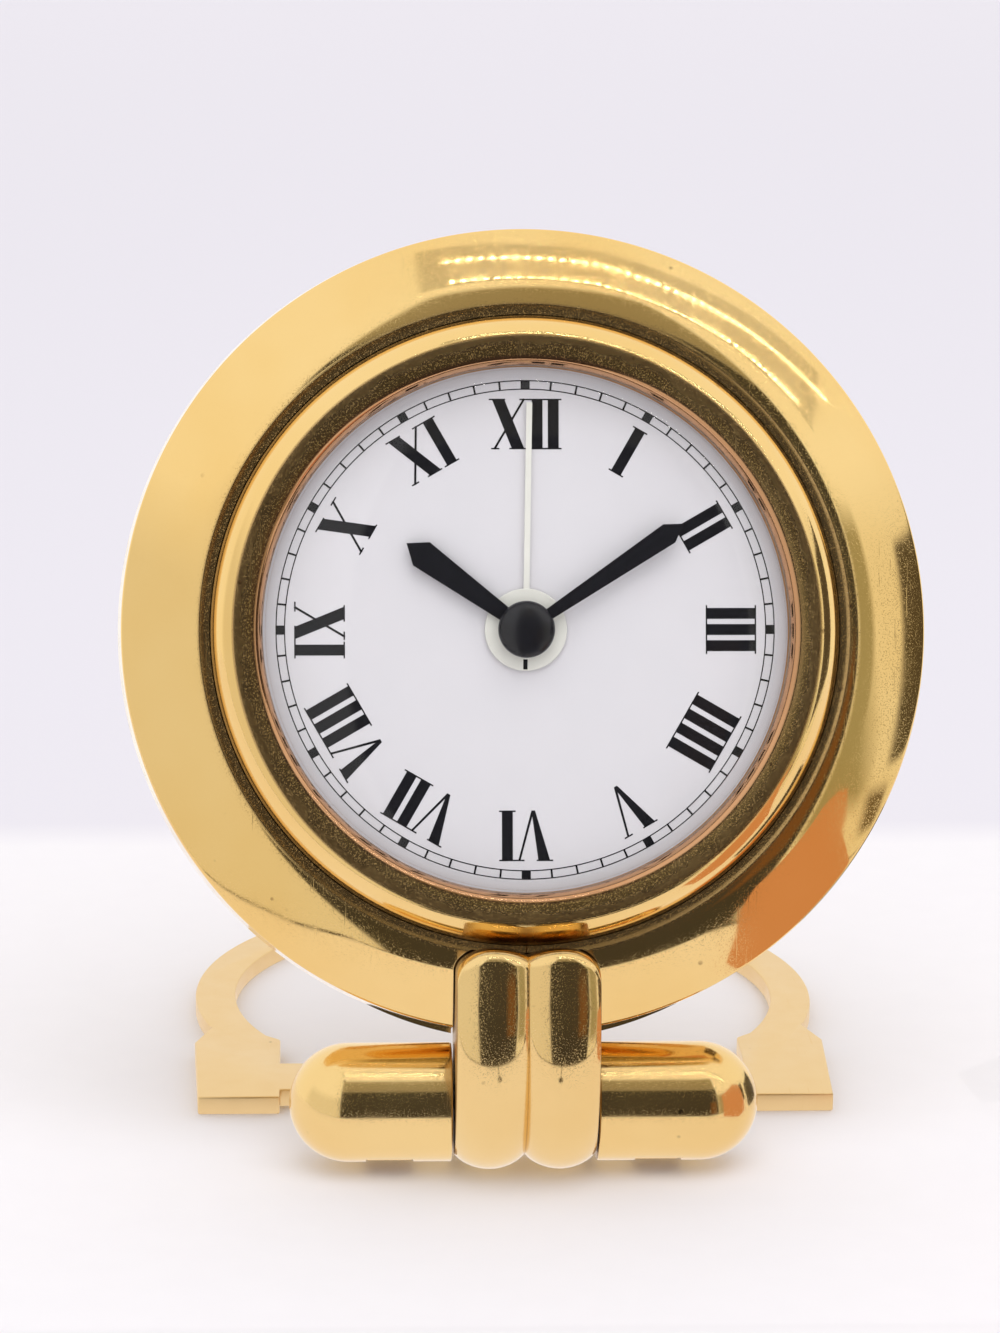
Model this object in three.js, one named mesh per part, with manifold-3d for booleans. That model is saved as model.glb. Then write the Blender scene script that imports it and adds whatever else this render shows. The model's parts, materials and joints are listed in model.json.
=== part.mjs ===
// Round travel alarm clock on a folding arch stand, in millimetres.
// Z is up, the face looks towards -Y and leans back, and the part stands on Z = 0.

import * as THREE from 'three';
import { mergeVertices } from 'three/addons/utils/BufferGeometryUtils.js';
import Module from 'manifold-3d';

const wasm = await Module();
wasm.setup();

// Driving sizes: the cell, the hinge barrel and the lean; the case grows outwards from the movement
const cellRadius = 5.8;
const cellHeight = 4.2;
const barrelRadius = 5.3;
const leanDegrees = 15.8;

// Clearances
const seatGap = 0.15;
const fitGap = 0.3;
const foldGap = 0.35;
const runningGap = 0.08;
const overrun = 2;
const weld = 0.25;

// Facets round a full turn
const wideSides = 48;
const middleSides = 24;
const narrowSides = 12;

// Folding stand
const plateThickness = 1.55;
const archRoom = 6;
const archWidth = 3.5;
const shoulderDegrees = 19.5;
const archMouthDegrees = 28.2;
const shoulderChamfer = 3.8;
const mouthChamfer = 1.1;
const footStep = 4;
const footWidth = 6.75;
const footFlare = 0.55;
const footToe = 1.8;
const tabWidth = 6.3;
const armWidth = 3.5;
const armInset = 3.05;
const eyeRadius = 2.6;
const eyeRearDegrees = 32;
const eyeFrontDegrees = 208;
const webHeelFront = 0.8;
const webHeelBack = 4.2;

// Hinge bar
const capsuleLift = 0.55;
const capsuleLength = 12.83;
const capsuleSeam = 0.32;
const capsuleEdge = 0.2;
const axleRadius = 1.5;
const axleEndInset = 4.38;
const washerRadius = 3.2;
const washerThickness = 0.35;
const setScrewRadius = 0.7;
const setScrewLength = 2.3;
const setScrewInset = 0.9;

// Knot bracket
const knotWidth = 11.26;
const knotFront = 10.5;
const knotFlatLength = 4.35;
const knotUpperSwing = 7;
const knotLowerSwing = 6.6;
const knotFrontRound = 1.1;
const lobeHeight = 1.4;
const knotTopGap = 0.16;
const knotCorner = 1.9;
const knotCusp = 0.55;
const bracketScrewRadius = 0.6;
const bracketScrewHead = 1.1;
const bracketScrewHeadHeight = 0.7;
const bracketScrewLength = 7.2;
const bracketScrewLevel = 1.5;

// Bezel, crystal and dial
const lipWidth = 0.8;
const lipRise = 1.1;
const lipThickness = 0.25;
const cavettoWidth = 1.5;
const cavettoRise = 0.4;
const beadWidth = 1.85;
const beadHeight = 3.4;
const beadLean = 0.5;
const crystalLand = 1.15;
const crystalRim = 0.6;
const domeInset = 0.2;
const domeRise = 3.2;
const domeThickness = 0.9;
const gasketThickness = 0.3;
const shelfStep = 0.55;
const reflectorHeight = 0.35;
const dialDepth = 8.4;
const dialThickness = 0.4;
const dialFootRadius = 0.5;
const dialFootLength = 1.1;
const dialFootInset = 2.2;

// Case ring and chin
const channelWidth = 0.7;
const channelDepth = 0.55;
const domeLean = 1.7;
const crestEdge = 0.1;
const rimHeight = 1.2;
const rimRound = 1;
const ringWidth = 6.7;
const ringHeight = 7.5;
const grooveDepth = 1.3;
const hingeClearance = 0.41;
const rimWidth = 1.9;
const chinInset = 4.5;
const chinProud = 0.45;
const chinSeat = 1.6;

// Case back
const flangeThickness = 0.9;
const backWall = 0.8;
const backEdge = 0.4;
const bossClearance = 0.56;
const backGasketWidth = 1.3;
const backScrewRadius = 0.55;
const backScrewHead = 1.05;
const backScrewLength = 3;
const backScrewInset = 1.9;
const backScrewCount = 4;
const soundHoleRadius = 0.45;
const soundHoleSpacing = 1.5;
const soundHoleCount = 5;

// Movement
const plateGap = 0.25;
const mainPlateThickness = 0.8;
const mainPlateLip = 0.8;
const holderWidth = 3.96;
const coverWall = 0.6;
const coverFloor = 0.6;
const wheelThickness = 0.6;
const wheelGap = 0.3;
const gearboxHeight = 2.5;
const holderRoom = 1.4;
const arborRadius = 0.6;
const tubeWall = 0.37;
const studRadius = 0.4;
const movementScrewRadius = 0.5;
const movementPostRadius = 1;
const movementScrewInset = 0.95;
const movementScrewCount = 3;
const movementScrewDegrees = 70;

// Gears: modules are lengths, tooth numbers are counts
const motionModule = 0.3;
const centreModule = 0.2;
const alarmModule = 0.4;
const cannonTeeth = 10;
const minuteTeeth = 30;
const minutePinionTeeth = 8;
const hourTeeth = 32;
const centreTeeth = 32;
const driveTeeth = 8;
const knobTeeth = 10;
const alarmTeeth = 30;
const toothRootShare = 0.27;
const toothTipShare = 0.12;
const addendumShare = 0.95;
const dedendumShare = 1.3;

// Places of the arbors round the centre, in degrees from the right-hand side
const minuteWheelDegrees = 90;
const timeKnobDegrees = 42;
const alarmKnobDegrees = 162;
const driveDegrees = 0;

// Hands
const minuteDegrees = 56.2;
const hourDegrees = 305.9;
const alarmDegrees = 1;
const handThickness = 0.25;
const handGap = 0.25;
const minuteTipGap = 5.8;
const minuteTip = 1.4;
const minuteShoulderWidth = 1.73;
const minuteNeck = 0.75;
const hourShorter = 3.35;
const hourTip = 1.45;
const hourShoulderWidth = 2.27;
const hourNeck = 0.93;
const handHubRadius = 1.9;
const alarmTipGap = 2.8;
const alarmWidth = 0.4;
const alarmDiscRadius = 3.25;
const alarmSlotWidth = 0.35;
const alarmSlotLength = 0.9;
const capRadius = 2.25;
const capHeight = 0.9;
const capSocketDepth = 0.5;
const arborTip = 0.35;

// Battery and hatch
const cellEdge = 0.5;
const cellCentreGap = 4.1;
const cellWallGap = 0.2;
const contactWidth = 2.2;
const contactLength = 4.2;
const contactThickness = 0.15;
const hatchMargin = 0.5;
const hatchBossStep = 0.8;
const hatchSeal = 0.8;
const coinSlotWidth = 1.2;
const coinSlotLength = 8;
const coinSlotDepth = 0.45;

// Back controls
const knobRadius = 3.5;
const knobProud = 0.15;
const knobStemRadius = 0.7;
const knobSlotShare = 0.7;
const knobSlotWidth = 0.9;
const knobSlotDepth = 0.35;
const knobNotchRadius = 0.5;
const knobNotchCount = 12;
const knobNotchSides = 6;
const switchInset = 4.5;
const switchY = -5.4;
const switchWidth = 3;
const switchLength = 2;
const switchTravel = 3;
const switchTongue = 1;

// Electric parts of the movement
const boardThickness = 0.35;
const boardInset = 0.5;
const boardRightEdge = -2.4;
const boardLowerEdge = -0.4;
const coilRadius = 1.05;
const coilFlange = 1.35;
const coilFlangeWidth = 0.5;
const coilLength = 8;
const coilWallGap = 0.4;
const coilY = 3.2;
const statorThickness = 0.4;
const statorArm = 1.6;
const statorReach = 4.4;
const gearboxWidth = 5.2;
const gearboxLength = 7.4;
const gearboxX = 5.9;
const gearboxY = 0;
const canRadius = 0.75;
const canLength = 4.6;
const canInset = 3.8;
const canDegrees = 141.7;
const buzzerRadius = 4.1;
const buzzerThickness = 0.3;
const buzzerWallGap = 0.26;
const buzzerDegrees = 206.8;
const alarmSpringWidth = 0.8;
const alarmSpringLength = 4;
const alarmSpringGap = 0.5;
const alarmSpringThickness = 0.15;

// Levels measured from the hinge axis plane, towards the viewer
const radians = THREE.MathUtils.degToRad;
const caseBackLevel = plateThickness + foldGap - barrelRadius;
const equatorLevel = caseBackLevel + rimHeight;
const dialTop = caseBackLevel + dialDepth;
const ringCrestLevel = equatorLevel + ringHeight;
const flangeLevel = caseBackLevel + flangeThickness;
const recessLevel = flangeLevel + gasketThickness + seatGap + seatGap;
const dialBack = dialTop - dialThickness;
const mainPlateTop = dialBack - plateGap;
const mainPlateBack = mainPlateTop - mainPlateThickness;
const alarmWheelBack = mainPlateBack - wheelGap - wheelThickness;
const hourWheelBack = alarmWheelBack - wheelGap - wheelThickness;
const minuteWheelBack = hourWheelBack - wheelGap - wheelThickness;
const centreWheelBack = minuteWheelBack - wheelGap - wheelThickness;
const gearboxBack = centreWheelBack - wheelGap - gearboxHeight;
const coverFloorTop = gearboxBack - plateGap;
const coverBack = coverFloorTop - coverFloor;
const backFloorTop = coverBack - plateGap;
const backFloorBack = backFloorTop - backWall;
const controlLevel = backFloorBack - knobProud;
const controlHeadTop = backFloorTop;
const reflectorBack = dialTop + seatGap;
const crystalBack = reflectorBack + reflectorHeight + seatGap;
const crystalRimTop = crystalBack + crystalRim;
const lipBack = crystalRimTop + seatGap;
const lipTop = lipBack + lipThickness;
const shelfLevel = ringCrestLevel - grooveDepth;
const bezelBack = shelfLevel + seatGap;
const cavettoBack = lipTop + lipRise;
const crestTop = cavettoBack + cavettoRise;
const beadFoot = crestTop - beadHeight;
const channelLevel = ringCrestLevel - channelDepth;
const alarmHandBack = dialTop + handGap;
const hourHandBack = alarmHandBack + handThickness + handGap;
const minuteHandBack = hourHandBack + handThickness + handGap;
const capBack = minuteHandBack + handThickness + seatGap;

// Radii that follow from the cell outwards
const cellDrop = cellCentreGap + cellRadius;
const hatchRadius = cellRadius + hatchMargin;
const hatchBossRadius = cellRadius - hatchBossStep;
const coverInner = cellDrop + cellRadius + cellWallGap;
const coverRadius = coverInner + coverWall;
const mainPlateRadius = coverRadius + mainPlateLip;
const bossInner = coverRadius + fitGap;
const bossRadius = bossInner + backWall;
const holderInner = mainPlateRadius + fitGap;
const holderOuter = holderInner + holderWidth;
const ringBore = holderOuter + holderRoom;
const dialRadius = ringBore - fitGap;
const bezelBore = ringBore - shelfStep;
const gasketOuter = bezelBore - runningGap;
const gasketInner = gasketOuter - gasketThickness;
const crystalRadius = gasketInner - runningGap;
const openingRadius = crystalRadius - crystalLand;
const lipOuterRadius = openingRadius + lipWidth;
const cavettoRadius = lipOuterRadius + cavettoWidth;
const bezelRadius = cavettoRadius + beadWidth;
const ringMouthRadius = bezelRadius + seatGap;
const ringCrestRadius = ringMouthRadius + channelWidth;
const caseRadius = ringCrestRadius + ringWidth;
const recessRadius = caseRadius - rimWidth;
const flangeRadius = recessRadius - fitGap;
const hourTubeInner = arborRadius + runningGap;
const hourTubeOuter = hourTubeInner + tubeWall;
const alarmTubeInner = hourTubeOuter + runningGap;
const alarmTubeOuter = alarmTubeInner + tubeWall;
const plateHoleRadius = alarmTubeOuter + runningGap;

// Hinge and stand sizes that follow from the case
const capsuleRadius = barrelRadius - capsuleLift;
const hingeDrop = caseRadius + capsuleRadius + hingeClearance;
const chinRadius = caseRadius - chinInset;
const chinDrop = caseRadius + chinProud - chinRadius;
const archInnerRadius = bossRadius + archRoom;
const archOuterRadius = archInnerRadius + archWidth;
const footInnerHalf = archInnerRadius - footStep;
const footOuterHalf = footInnerHalf + footWidth;
const tabBack = hingeDrop - bossRadius - bossClearance;
const tabFront = tabBack - tabWidth;
const footFront = tabFront - footToe;
const footBack = hingeDrop - archOuterRadius * Math.sin(radians(shoulderDegrees)) - shoulderChamfer;
const footInnerBack = hingeDrop - archInnerRadius * Math.sin(radians(archMouthDegrees)) - mouthChamfer;

// Hand lengths that follow from the dial opening
const minuteLength = openingRadius - minuteTipGap;
const hourLength = minuteLength - hourShorter;
const alarmLength = openingRadius - alarmTipGap;

// Centre distances of the gear pairs
const halfTeeth = (teeth, module) => (teeth * module) / 2;
const motionDistance = halfTeeth(cannonTeeth + minuteTeeth, motionModule);
const alarmDistance = halfTeeth(alarmTeeth + knobTeeth, alarmModule);
const driveDistance = halfTeeth(centreTeeth + driveTeeth, centreModule);

const polar = (distance, degrees) =>
  new THREE.Vector2(distance * Math.cos(radians(degrees)), distance * Math.sin(radians(degrees)));
const minuteWheelPlace = polar(motionDistance, minuteWheelDegrees);
const timeKnobPlace = minuteWheelPlace.clone().add(polar(motionDistance, timeKnobDegrees));
const alarmKnobPlace = polar(alarmDistance, alarmKnobDegrees);
const drivePlace = polar(driveDistance, driveDegrees);
const cellPlace = new THREE.Vector2(0, -cellDrop);
const canPlace = polar(coverInner - canInset, canDegrees);
const buzzerPlace = polar(coverInner - buzzerRadius - buzzerWallGap, buzzerDegrees);
const switchX = coverInner - switchInset;
const coilX = Math.sqrt((coverInner - coilWallGap) ** 2 - (coilY + coilLength / 2) ** 2) - coilFlange;

// Stand and knot values shared by several pieces
const plateTop = plateThickness - barrelRadius;
const knotHalf = knotWidth / 2;
const lobeHalf = knotHalf / 2;
const capsuleInner = knotHalf + capsuleSeam;
const capsuleReach = capsuleInner + capsuleLength;
const axleHalf = capsuleReach - axleEndInset;
const armInner = capsuleInner + armInset;
const armOuter = armInner + armWidth;
const boreRadius = axleRadius + runningGap;
const knotTop = hingeDrop - bezelRadius - knotTopGap;
const knotFlatStart = knotTop - knotFlatLength;
const knotRear = flangeLevel + fitGap;
const notchTop = knotTop + fitGap;

// Turn a closed geometry into a solid whose faces point out
function solid(geometry) {
  const bare = geometry.index ? geometry.toNonIndexed() : geometry.clone();
  bare.deleteAttribute('normal');
  bare.deleteAttribute('uv');
  const welded = mergeVertices(bare);
  const corners = welded.attributes.position;
  const index = welded.index.array;
  const triangles = [];
  let sixVolumes = 0;
  const a = new THREE.Vector3();
  const b = new THREE.Vector3();
  const c = new THREE.Vector3();
  for (let i = 0; i < index.length; i += 3) {
    const [p, q, r] = [index[i], index[i + 1], index[i + 2]];
    if (p === q || q === r || r === p) continue;
    triangles.push(p, q, r);
    a.fromBufferAttribute(corners, p);
    b.fromBufferAttribute(corners, q);
    c.fromBufferAttribute(corners, r);
    sixVolumes += a.dot(b.cross(c));
  }
  if (sixVolumes < 0) {
    triangles.reverse();
  }
  const mesh = new wasm.Mesh({
    numProp: 3,
    vertProperties: new Float32Array(corners.array),
    triVerts: new Uint32Array(triangles),
  });
  return new wasm.Manifold(mesh);
}

function join(first, ...others) {
  return others.reduce((whole, other) => whole.add(other), first);
}

function cut(first, ...others) {
  return others.reduce((whole, other) => whole.subtract(other), first);
}

// Lathe a profile of (radius, height) points round the Z axis
function turned(points, sides) {
  const closed = [...points];
  if (points[0][0] !== 0) {
    closed.push(points[0]);
  }
  const profile = closed.map(([radius, height]) => new THREE.Vector2(radius, height));
  return solid(new THREE.LatheGeometry(profile, sides).rotateX(Math.PI / 2));
}

// Lathe the same kind of profile round the X axis
function turnedAcross(points, sides) {
  const profile = points.map(([radius, across]) => new THREE.Vector2(radius, across));
  return solid(new THREE.LatheGeometry(profile, sides).rotateZ(-Math.PI / 2));
}

// Extrude a flat outline from one level to a higher one
function prism(shape, back, front, curveSegments = narrowSides) {
  const options = { depth: front - back, bevelEnabled: false, curveSegments };
  return solid(new THREE.ExtrudeGeometry(shape, options).translate(0, 0, back));
}

// Extrude an outline drawn in the YZ plane along X
function prismAcross(shape, left, right, curveSegments = narrowSides) {
  const options = { depth: right - left, bevelEnabled: false, curveSegments };
  const geometry = new THREE.ExtrudeGeometry(shape, options).translate(0, 0, left);
  const axes = new THREE.Matrix4().makeBasis(
    new THREE.Vector3(0, 1, 0),
    new THREE.Vector3(0, 0, 1),
    new THREE.Vector3(1, 0, 0),
  );
  return solid(geometry.applyMatrix4(axes));
}

function box(left, right, front, rear, low, high) {
  const geometry = new THREE.BoxGeometry(right - left, rear - front, high - low);
  return solid(geometry.translate((left + right) / 2, (front + rear) / 2, (low + high) / 2));
}

function disc(radius, back, front, place = new THREE.Vector2(), sides = narrowSides) {
  const round = turned([[0, back], [radius, back], [radius, front], [0, front]], sides);
  return round.translate([place.x, place.y, 0]);
}

function ring(inner, outer, back, front, sides) {
  return turned([[inner, back], [outer, back], [outer, front], [inner, front]], sides);
}

// A rod along X, from left to right
function rodAcross(radius, left, right, sides = narrowSides) {
  return turnedAcross([[0, left], [radius, left], [radius, right], [0, right]], sides);
}

// A rod along Y, from one depth to another
function rodAlongY(radius, x, from, to, level) {
  const rod = new THREE.CylinderGeometry(radius, radius, to - from, narrowSides);
  return solid(rod.translate(x, (from + to) / 2, level));
}

// Points of an elliptic arc, ends included
function arcPoints(centre, halfWidth, halfHeight, fromDegrees, toDegrees, steps) {
  const points = [];
  for (let step = 0; step <= steps; step += 1) {
    const angle = radians(fromDegrees + ((toDegrees - fromDegrees) * step) / steps);
    points.push([centre[0] + halfWidth * Math.cos(angle), centre[1] + halfHeight * Math.sin(angle)]);
  }
  return points;
}

function outline(points) {
  return new THREE.Shape(points.map(([x, y]) => new THREE.Vector2(x, y)));
}

// Toothed outline whose first tooth or gap points at the given angle
function gearShape(teeth, module, aimDegrees, aimsGap) {
  const pitchRadius = halfTeeth(teeth, module);
  const tipRadius = pitchRadius + module * addendumShare;
  const rootRadius = pitchRadius - module * dedendumShare;
  const pitch = (2 * Math.PI) / teeth;
  const start = radians(aimDegrees) + (aimsGap ? pitch / 2 : 0);
  const points = [];
  for (let tooth = 0; tooth < teeth; tooth += 1) {
    const middle = start + tooth * pitch;
    const corners = [
      [rootRadius, -toothRootShare],
      [tipRadius, -toothTipShare],
      [tipRadius, toothTipShare],
      [rootRadius, toothRootShare],
    ];
    for (const [radius, share] of corners) {
      const angle = middle + share * pitch;
      points.push([radius * Math.cos(angle), radius * Math.sin(angle)]);
    }
  }
  return outline(points);
}

function wheel(teeth, module, back, aimDegrees, aimsGap) {
  return prism(gearShape(teeth, module, aimDegrees, aimsGap), back, back + wheelThickness);
}

// Groups: the stand stays level, the case leans back about the hinge axis
const clock = new THREE.Group();
const stand = new THREE.Group();
const leaningCase = new THREE.Group();
leaningCase.rotation.x = Math.PI / 2 - radians(leanDegrees);
const face = new THREE.Group();
face.position.y = hingeDrop;
leaningCase.add(face);
clock.add(stand, leaningCase);

const finishes = {
  gold: { color: 0xd8a545, metalness: 1, roughness: 0.2 },
  brass: { color: 0xb9944f, metalness: 1, roughness: 0.4 },
  steel: { color: 0xb8bcc0, metalness: 1, roughness: 0.35 },
  crystal: { color: 0xf4f8fa, metalness: 0, roughness: 0.05, transparent: true, opacity: 0.25 },
  enamel: { color: 0xf0eef2, metalness: 0, roughness: 0.35 },
  blackPaint: { color: 0x0d0d10, metalness: 0, roughness: 0.3 },
  cream: { color: 0xe9e6d8, metalness: 0, roughness: 0.45 },
  copper: { color: 0xa8663a, metalness: 1, roughness: 0.35 },
  darkPlastic: { color: 0x2a2a2c, metalness: 0, roughness: 0.55 },
  palePlastic: { color: 0xd7d4cb, metalness: 0, roughness: 0.5 },
  circuit: { color: 0x2f6b3c, metalness: 0, roughness: 0.5 },
  rubber: { color: 0x1c1c1c, metalness: 0, roughness: 0.8 },
};

function place(group, name, body, finish) {
  const mesh = body.getMesh();
  const geometry = new THREE.BufferGeometry();
  geometry.setAttribute('position', new THREE.BufferAttribute(mesh.vertProperties, 3));
  geometry.setIndex(new THREE.BufferAttribute(mesh.triVerts, 1));
  geometry.computeVertexNormals();
  const piece = new THREE.Mesh(geometry, new THREE.MeshStandardMaterial(finishes[finish]));
  piece.name = name;
  group.add(piece);
  return piece;
}

// Alike pieces, each with its own name
function placeEach(group, names, bodies, finish) {
  bodies.forEach((body, index) => place(group, names[index], body, finish));
}

// Arch stand: feet, cross tab and arch in one plate, with two arms and hinge eyes
function standPlate() {
  const shape = new THREE.Shape();
  shape.moveTo(footInnerHalf, tabFront);
  shape.lineTo(footInnerHalf, footFront);
  shape.lineTo(footOuterHalf, footFront);
  shape.lineTo(footOuterHalf + footFlare, footBack);
  shape.absarc(0, hingeDrop, archOuterRadius, radians(-shoulderDegrees), radians(180 + shoulderDegrees));
  shape.lineTo(-footOuterHalf - footFlare, footBack);
  shape.lineTo(-footOuterHalf, footFront);
  shape.lineTo(-footInnerHalf, footFront);
  shape.lineTo(-footInnerHalf, tabFront);
  shape.closePath();
  const opening = new THREE.Path();
  opening.moveTo(footInnerHalf, tabBack);
  opening.lineTo(footInnerHalf, footInnerBack);
  opening.absarc(0, hingeDrop, archInnerRadius, radians(-archMouthDegrees), radians(180 + archMouthDegrees));
  opening.lineTo(-footInnerHalf, footInnerBack);
  opening.lineTo(-footInnerHalf, tabBack);
  opening.closePath();
  shape.holes.push(opening);
  const plate = prism(shape, -barrelRadius, plateTop, middleSides);
  const eyePoint = (degrees) => polar(eyeRadius, degrees).toArray();
  const web = outline([
    eyePoint(eyeFrontDegrees),
    [webHeelFront, -barrelRadius],
    [webHeelBack, -barrelRadius],
    [webHeelBack, plateTop],
    eyePoint(eyeRearDegrees),
  ]);
  const eye = new THREE.Shape().absarc(0, 0, eyeRadius, 0, 2 * Math.PI);
  const hole = rodAcross(boreRadius, -armOuter - overrun, armOuter + overrun);
  const arms = [-1, 1].map((side) => {
    const [left, right] = side > 0 ? [armInner, armOuter] : [-armOuter, -armInner];
    return join(
      prismAcross(web, left, right),
      prismAcross(eye, left, right),
      box(left, right, webHeelFront, (tabFront + tabBack) / 2, -barrelRadius, plateTop),
    );
  });
  return cut(join(plate, ...arms), hole);
}

// One half of the bar: a round-ended sleeve with a bore, a washer recess and a slot for the eye
function capsule(side) {
  const length = capsuleReach - capsuleInner;
  const domeStart = length - capsuleRadius;
  const sleeve = turnedAcross(
    [
      [0, 0],
      [capsuleRadius - capsuleEdge, 0],
      [capsuleRadius, capsuleEdge],
      ...arcPoints([0, domeStart], capsuleRadius, capsuleRadius, 0, 90, 7).slice(0, -1),
      [0, length],
    ],
    middleSides,
  ).translate([capsuleInner, 0, 0]);
  const mouth = capsuleInner - overrun;
  const slotEdge = eyeRadius + seatGap;
  const slot = box(
    armInner - seatGap,
    armOuter + seatGap,
    -slotEdge,
    capsuleRadius + overrun,
    -barrelRadius - overrun,
    slotEdge,
  );
  const right = cut(
    sleeve,
    slot,
    rodAcross(boreRadius, mouth, axleHalf + fitGap),
    rodAcross(washerRadius + fitGap, mouth, capsuleInner + washerThickness + seatGap, middleSides),
    rodAlongY(setScrewRadius + runningGap, axleHalf - setScrewInset, 0, capsuleRadius + overrun, 0),
  );
  return side > 0 ? right : right.mirror([1, 0, 0]);
}

function frictionWasher(side) {
  const from = capsuleInner;
  const to = capsuleInner + washerThickness;
  const right = cut(
    rodAcross(washerRadius, from, to, middleSides),
    rodAcross(boreRadius, from - overrun, to + overrun),
  );
  return side > 0 ? right : right.mirror([1, 0, 0]);
}

function setScrews() {
  const start = axleRadius + seatGap;
  const screwX = axleHalf - setScrewInset;
  return [-screwX, screwX].map((x) => rodAlongY(setScrewRadius, x, start, start + setScrewLength, 0));
}

place(stand, 'arch_stand', standPlate(), 'gold');
place(stand, 'left_capsule', capsule(-1), 'gold');
place(stand, 'right_capsule', capsule(1), 'gold');
place(stand, 'hinge_axle', rodAcross(axleRadius, -axleHalf, axleHalf), 'steel');
place(stand, 'left_friction_washer', frictionWasher(-1), 'steel');
place(stand, 'right_friction_washer', frictionWasher(1), 'steel');
placeEach(stand, ['left_set_screw', 'right_set_screw'], setScrews(), 'steel');

// Knot bracket: two round lobes run down the front and wrap round the hinge barrel
function lobeInsets() {
  const lobe = (middle) => arcPoints([middle, 0], lobeHalf, lobeHeight, 180, 0, 6);
  const crowns = [...lobe(-lobeHalf), ...lobe(lobeHalf).slice(1)];
  return crowns.map(([across, height]) => [across, lobeHeight - height]);
}

// Side view of the bracket: points (up the face, towards the viewer), each with its outward normal
function knotSide() {
  const downward = radians(180 + leanDegrees);
  const bottom = new THREE.Vector2(Math.cos(downward), Math.sin(downward)).multiplyScalar(barrelRadius);
  const forward = new THREE.Vector2(-Math.sin(radians(leanDegrees)), Math.cos(radians(leanDegrees)));
  const flatEnd = new THREE.Vector2(knotFlatStart, knotFront);
  const swing = new THREE.CubicBezierCurve(
    flatEnd,
    new THREE.Vector2(knotFlatStart - knotUpperSwing, knotFront),
    bottom.clone().addScaledVector(forward, knotLowerSwing),
    bottom,
  );
  const steps = 9;
  const top = new THREE.Vector2(knotTop + overrun, knotFront);
  const side = [{ point: top, normal: new THREE.Vector2(0, 1) }];
  for (let step = 0; step < steps; step += 1) {
    const tangent = swing.getTangent(step / steps);
    side.push({ point: swing.getPoint(step / steps), normal: new THREE.Vector2(tangent.y, -tangent.x) });
  }
  const rearAngle = 2 * Math.PI + Math.asin(knotRear / barrelRadius);
  const arcSteps = 7;
  for (let step = 0; step <= arcSteps; step += 1) {
    const angle = downward + ((rearAngle - downward) * step) / arcSteps;
    const normal = new THREE.Vector2(Math.cos(angle), Math.sin(angle));
    side.push({ point: normal.clone().multiplyScalar(barrelRadius), normal });
  }
  side.push({ point: new THREE.Vector2(knotTop + overrun, knotRear), normal: new THREE.Vector2() });
  return side;
}

// Loft the side view across the two lobes, inset where the lobes fall away
function knotSweep() {
  const side = knotSide();
  const stations = lobeInsets();
  const corners = [];
  const faces = [];
  for (const [across, inset] of stations) {
    for (const { point, normal } of side) {
      corners.push(across, point.x - normal.x * inset, point.y - normal.y * inset);
    }
  }
  const count = side.length;
  for (let station = 0; station + 1 < stations.length; station += 1) {
    for (let step = 0; step < count; step += 1) {
      const next = (step + 1) % count;
      const [a, b] = [station * count + step, station * count + next];
      faces.push(a, b, b + count, a, b + count, a + count);
    }
  }
  const last = (stations.length - 1) * count;
  const flat = (start) => side.map((_, step) => {
    const corner = 3 * (start + step);
    return new THREE.Vector2(corners[corner + 1], corners[corner + 2]);
  });
  for (const [p, q, r] of THREE.ShapeUtils.triangulateShape(flat(0), [])) {
    faces.push(p, r, q);
  }
  for (const [p, q, r] of THREE.ShapeUtils.triangulateShape(flat(last), [])) {
    faces.push(last + p, last + q, last + r);
  }
  const geometry = new THREE.BufferGeometry();
  geometry.setAttribute('position', new THREE.Float32BufferAttribute(corners, 3));
  geometry.setIndex(faces);
  return solid(geometry);
}

// Front view of the bracket, grown all round by a clearance
function knotFrontView(grow) {
  const bumpLevel = knotTop - knotCusp;
  const bump = (middle) => arcPoints([middle, bumpLevel + grow], lobeHalf, knotCusp, 0, 180, 6);
  const cornerCentre = knotHalf - knotCorner;
  const cornerLevel = bumpLevel - knotCorner;
  const corner = knotCorner + grow;
  return outline([
    [-knotHalf - grow, -barrelRadius - overrun],
    [knotHalf + grow, -barrelRadius - overrun],
    ...arcPoints([cornerCentre, cornerLevel], corner, corner, 0, 60, 4),
    ...bump(lobeHalf).slice(2),
    ...bump(-lobeHalf).slice(1, -2),
    ...arcPoints([-cornerCentre, cornerLevel], corner, corner, 120, 180, 4),
  ]);
}

function knotBracket() {
  const roundCentre = [knotTop - knotFrontRound, knotFront - knotFrontRound];
  const sideView = outline([
    [-knotFront, -knotFront],
    [knotTop, -knotFront],
    ...arcPoints(roundCentre, knotFrontRound, knotFrontRound, 0, 90, 4),
    [-knotFront, knotFront],
  ]);
  const holeRadius = bracketScrewRadius + runningGap;
  const holeEnd = bracketScrewTip() - fitGap;
  const holes = [-lobeHalf, lobeHalf].map((x) =>
    rodAlongY(holeRadius, x, holeEnd, knotTop + overrun, bracketScrewLevel),
  );
  return cut(
    knotSweep()
      .intersect(prism(knotFrontView(0), -knotFront, knotFront + overrun))
      .intersect(prismAcross(sideView, -knotWidth, knotWidth)),
    rodAcross(boreRadius, -knotWidth, knotWidth),
    ...holes,
  );
}

function bracketScrewSeat() {
  const boreSlope = lobeHalf / ringBore;
  const boreHeight = Math.sqrt(ringBore ** 2 - lobeHalf ** 2);
  return hingeDrop - boreHeight + bracketScrewHead * Math.tan(Math.asin(boreSlope));
}

function bracketScrewTip() {
  return bracketScrewSeat() + seatGap - bracketScrewLength;
}

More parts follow.
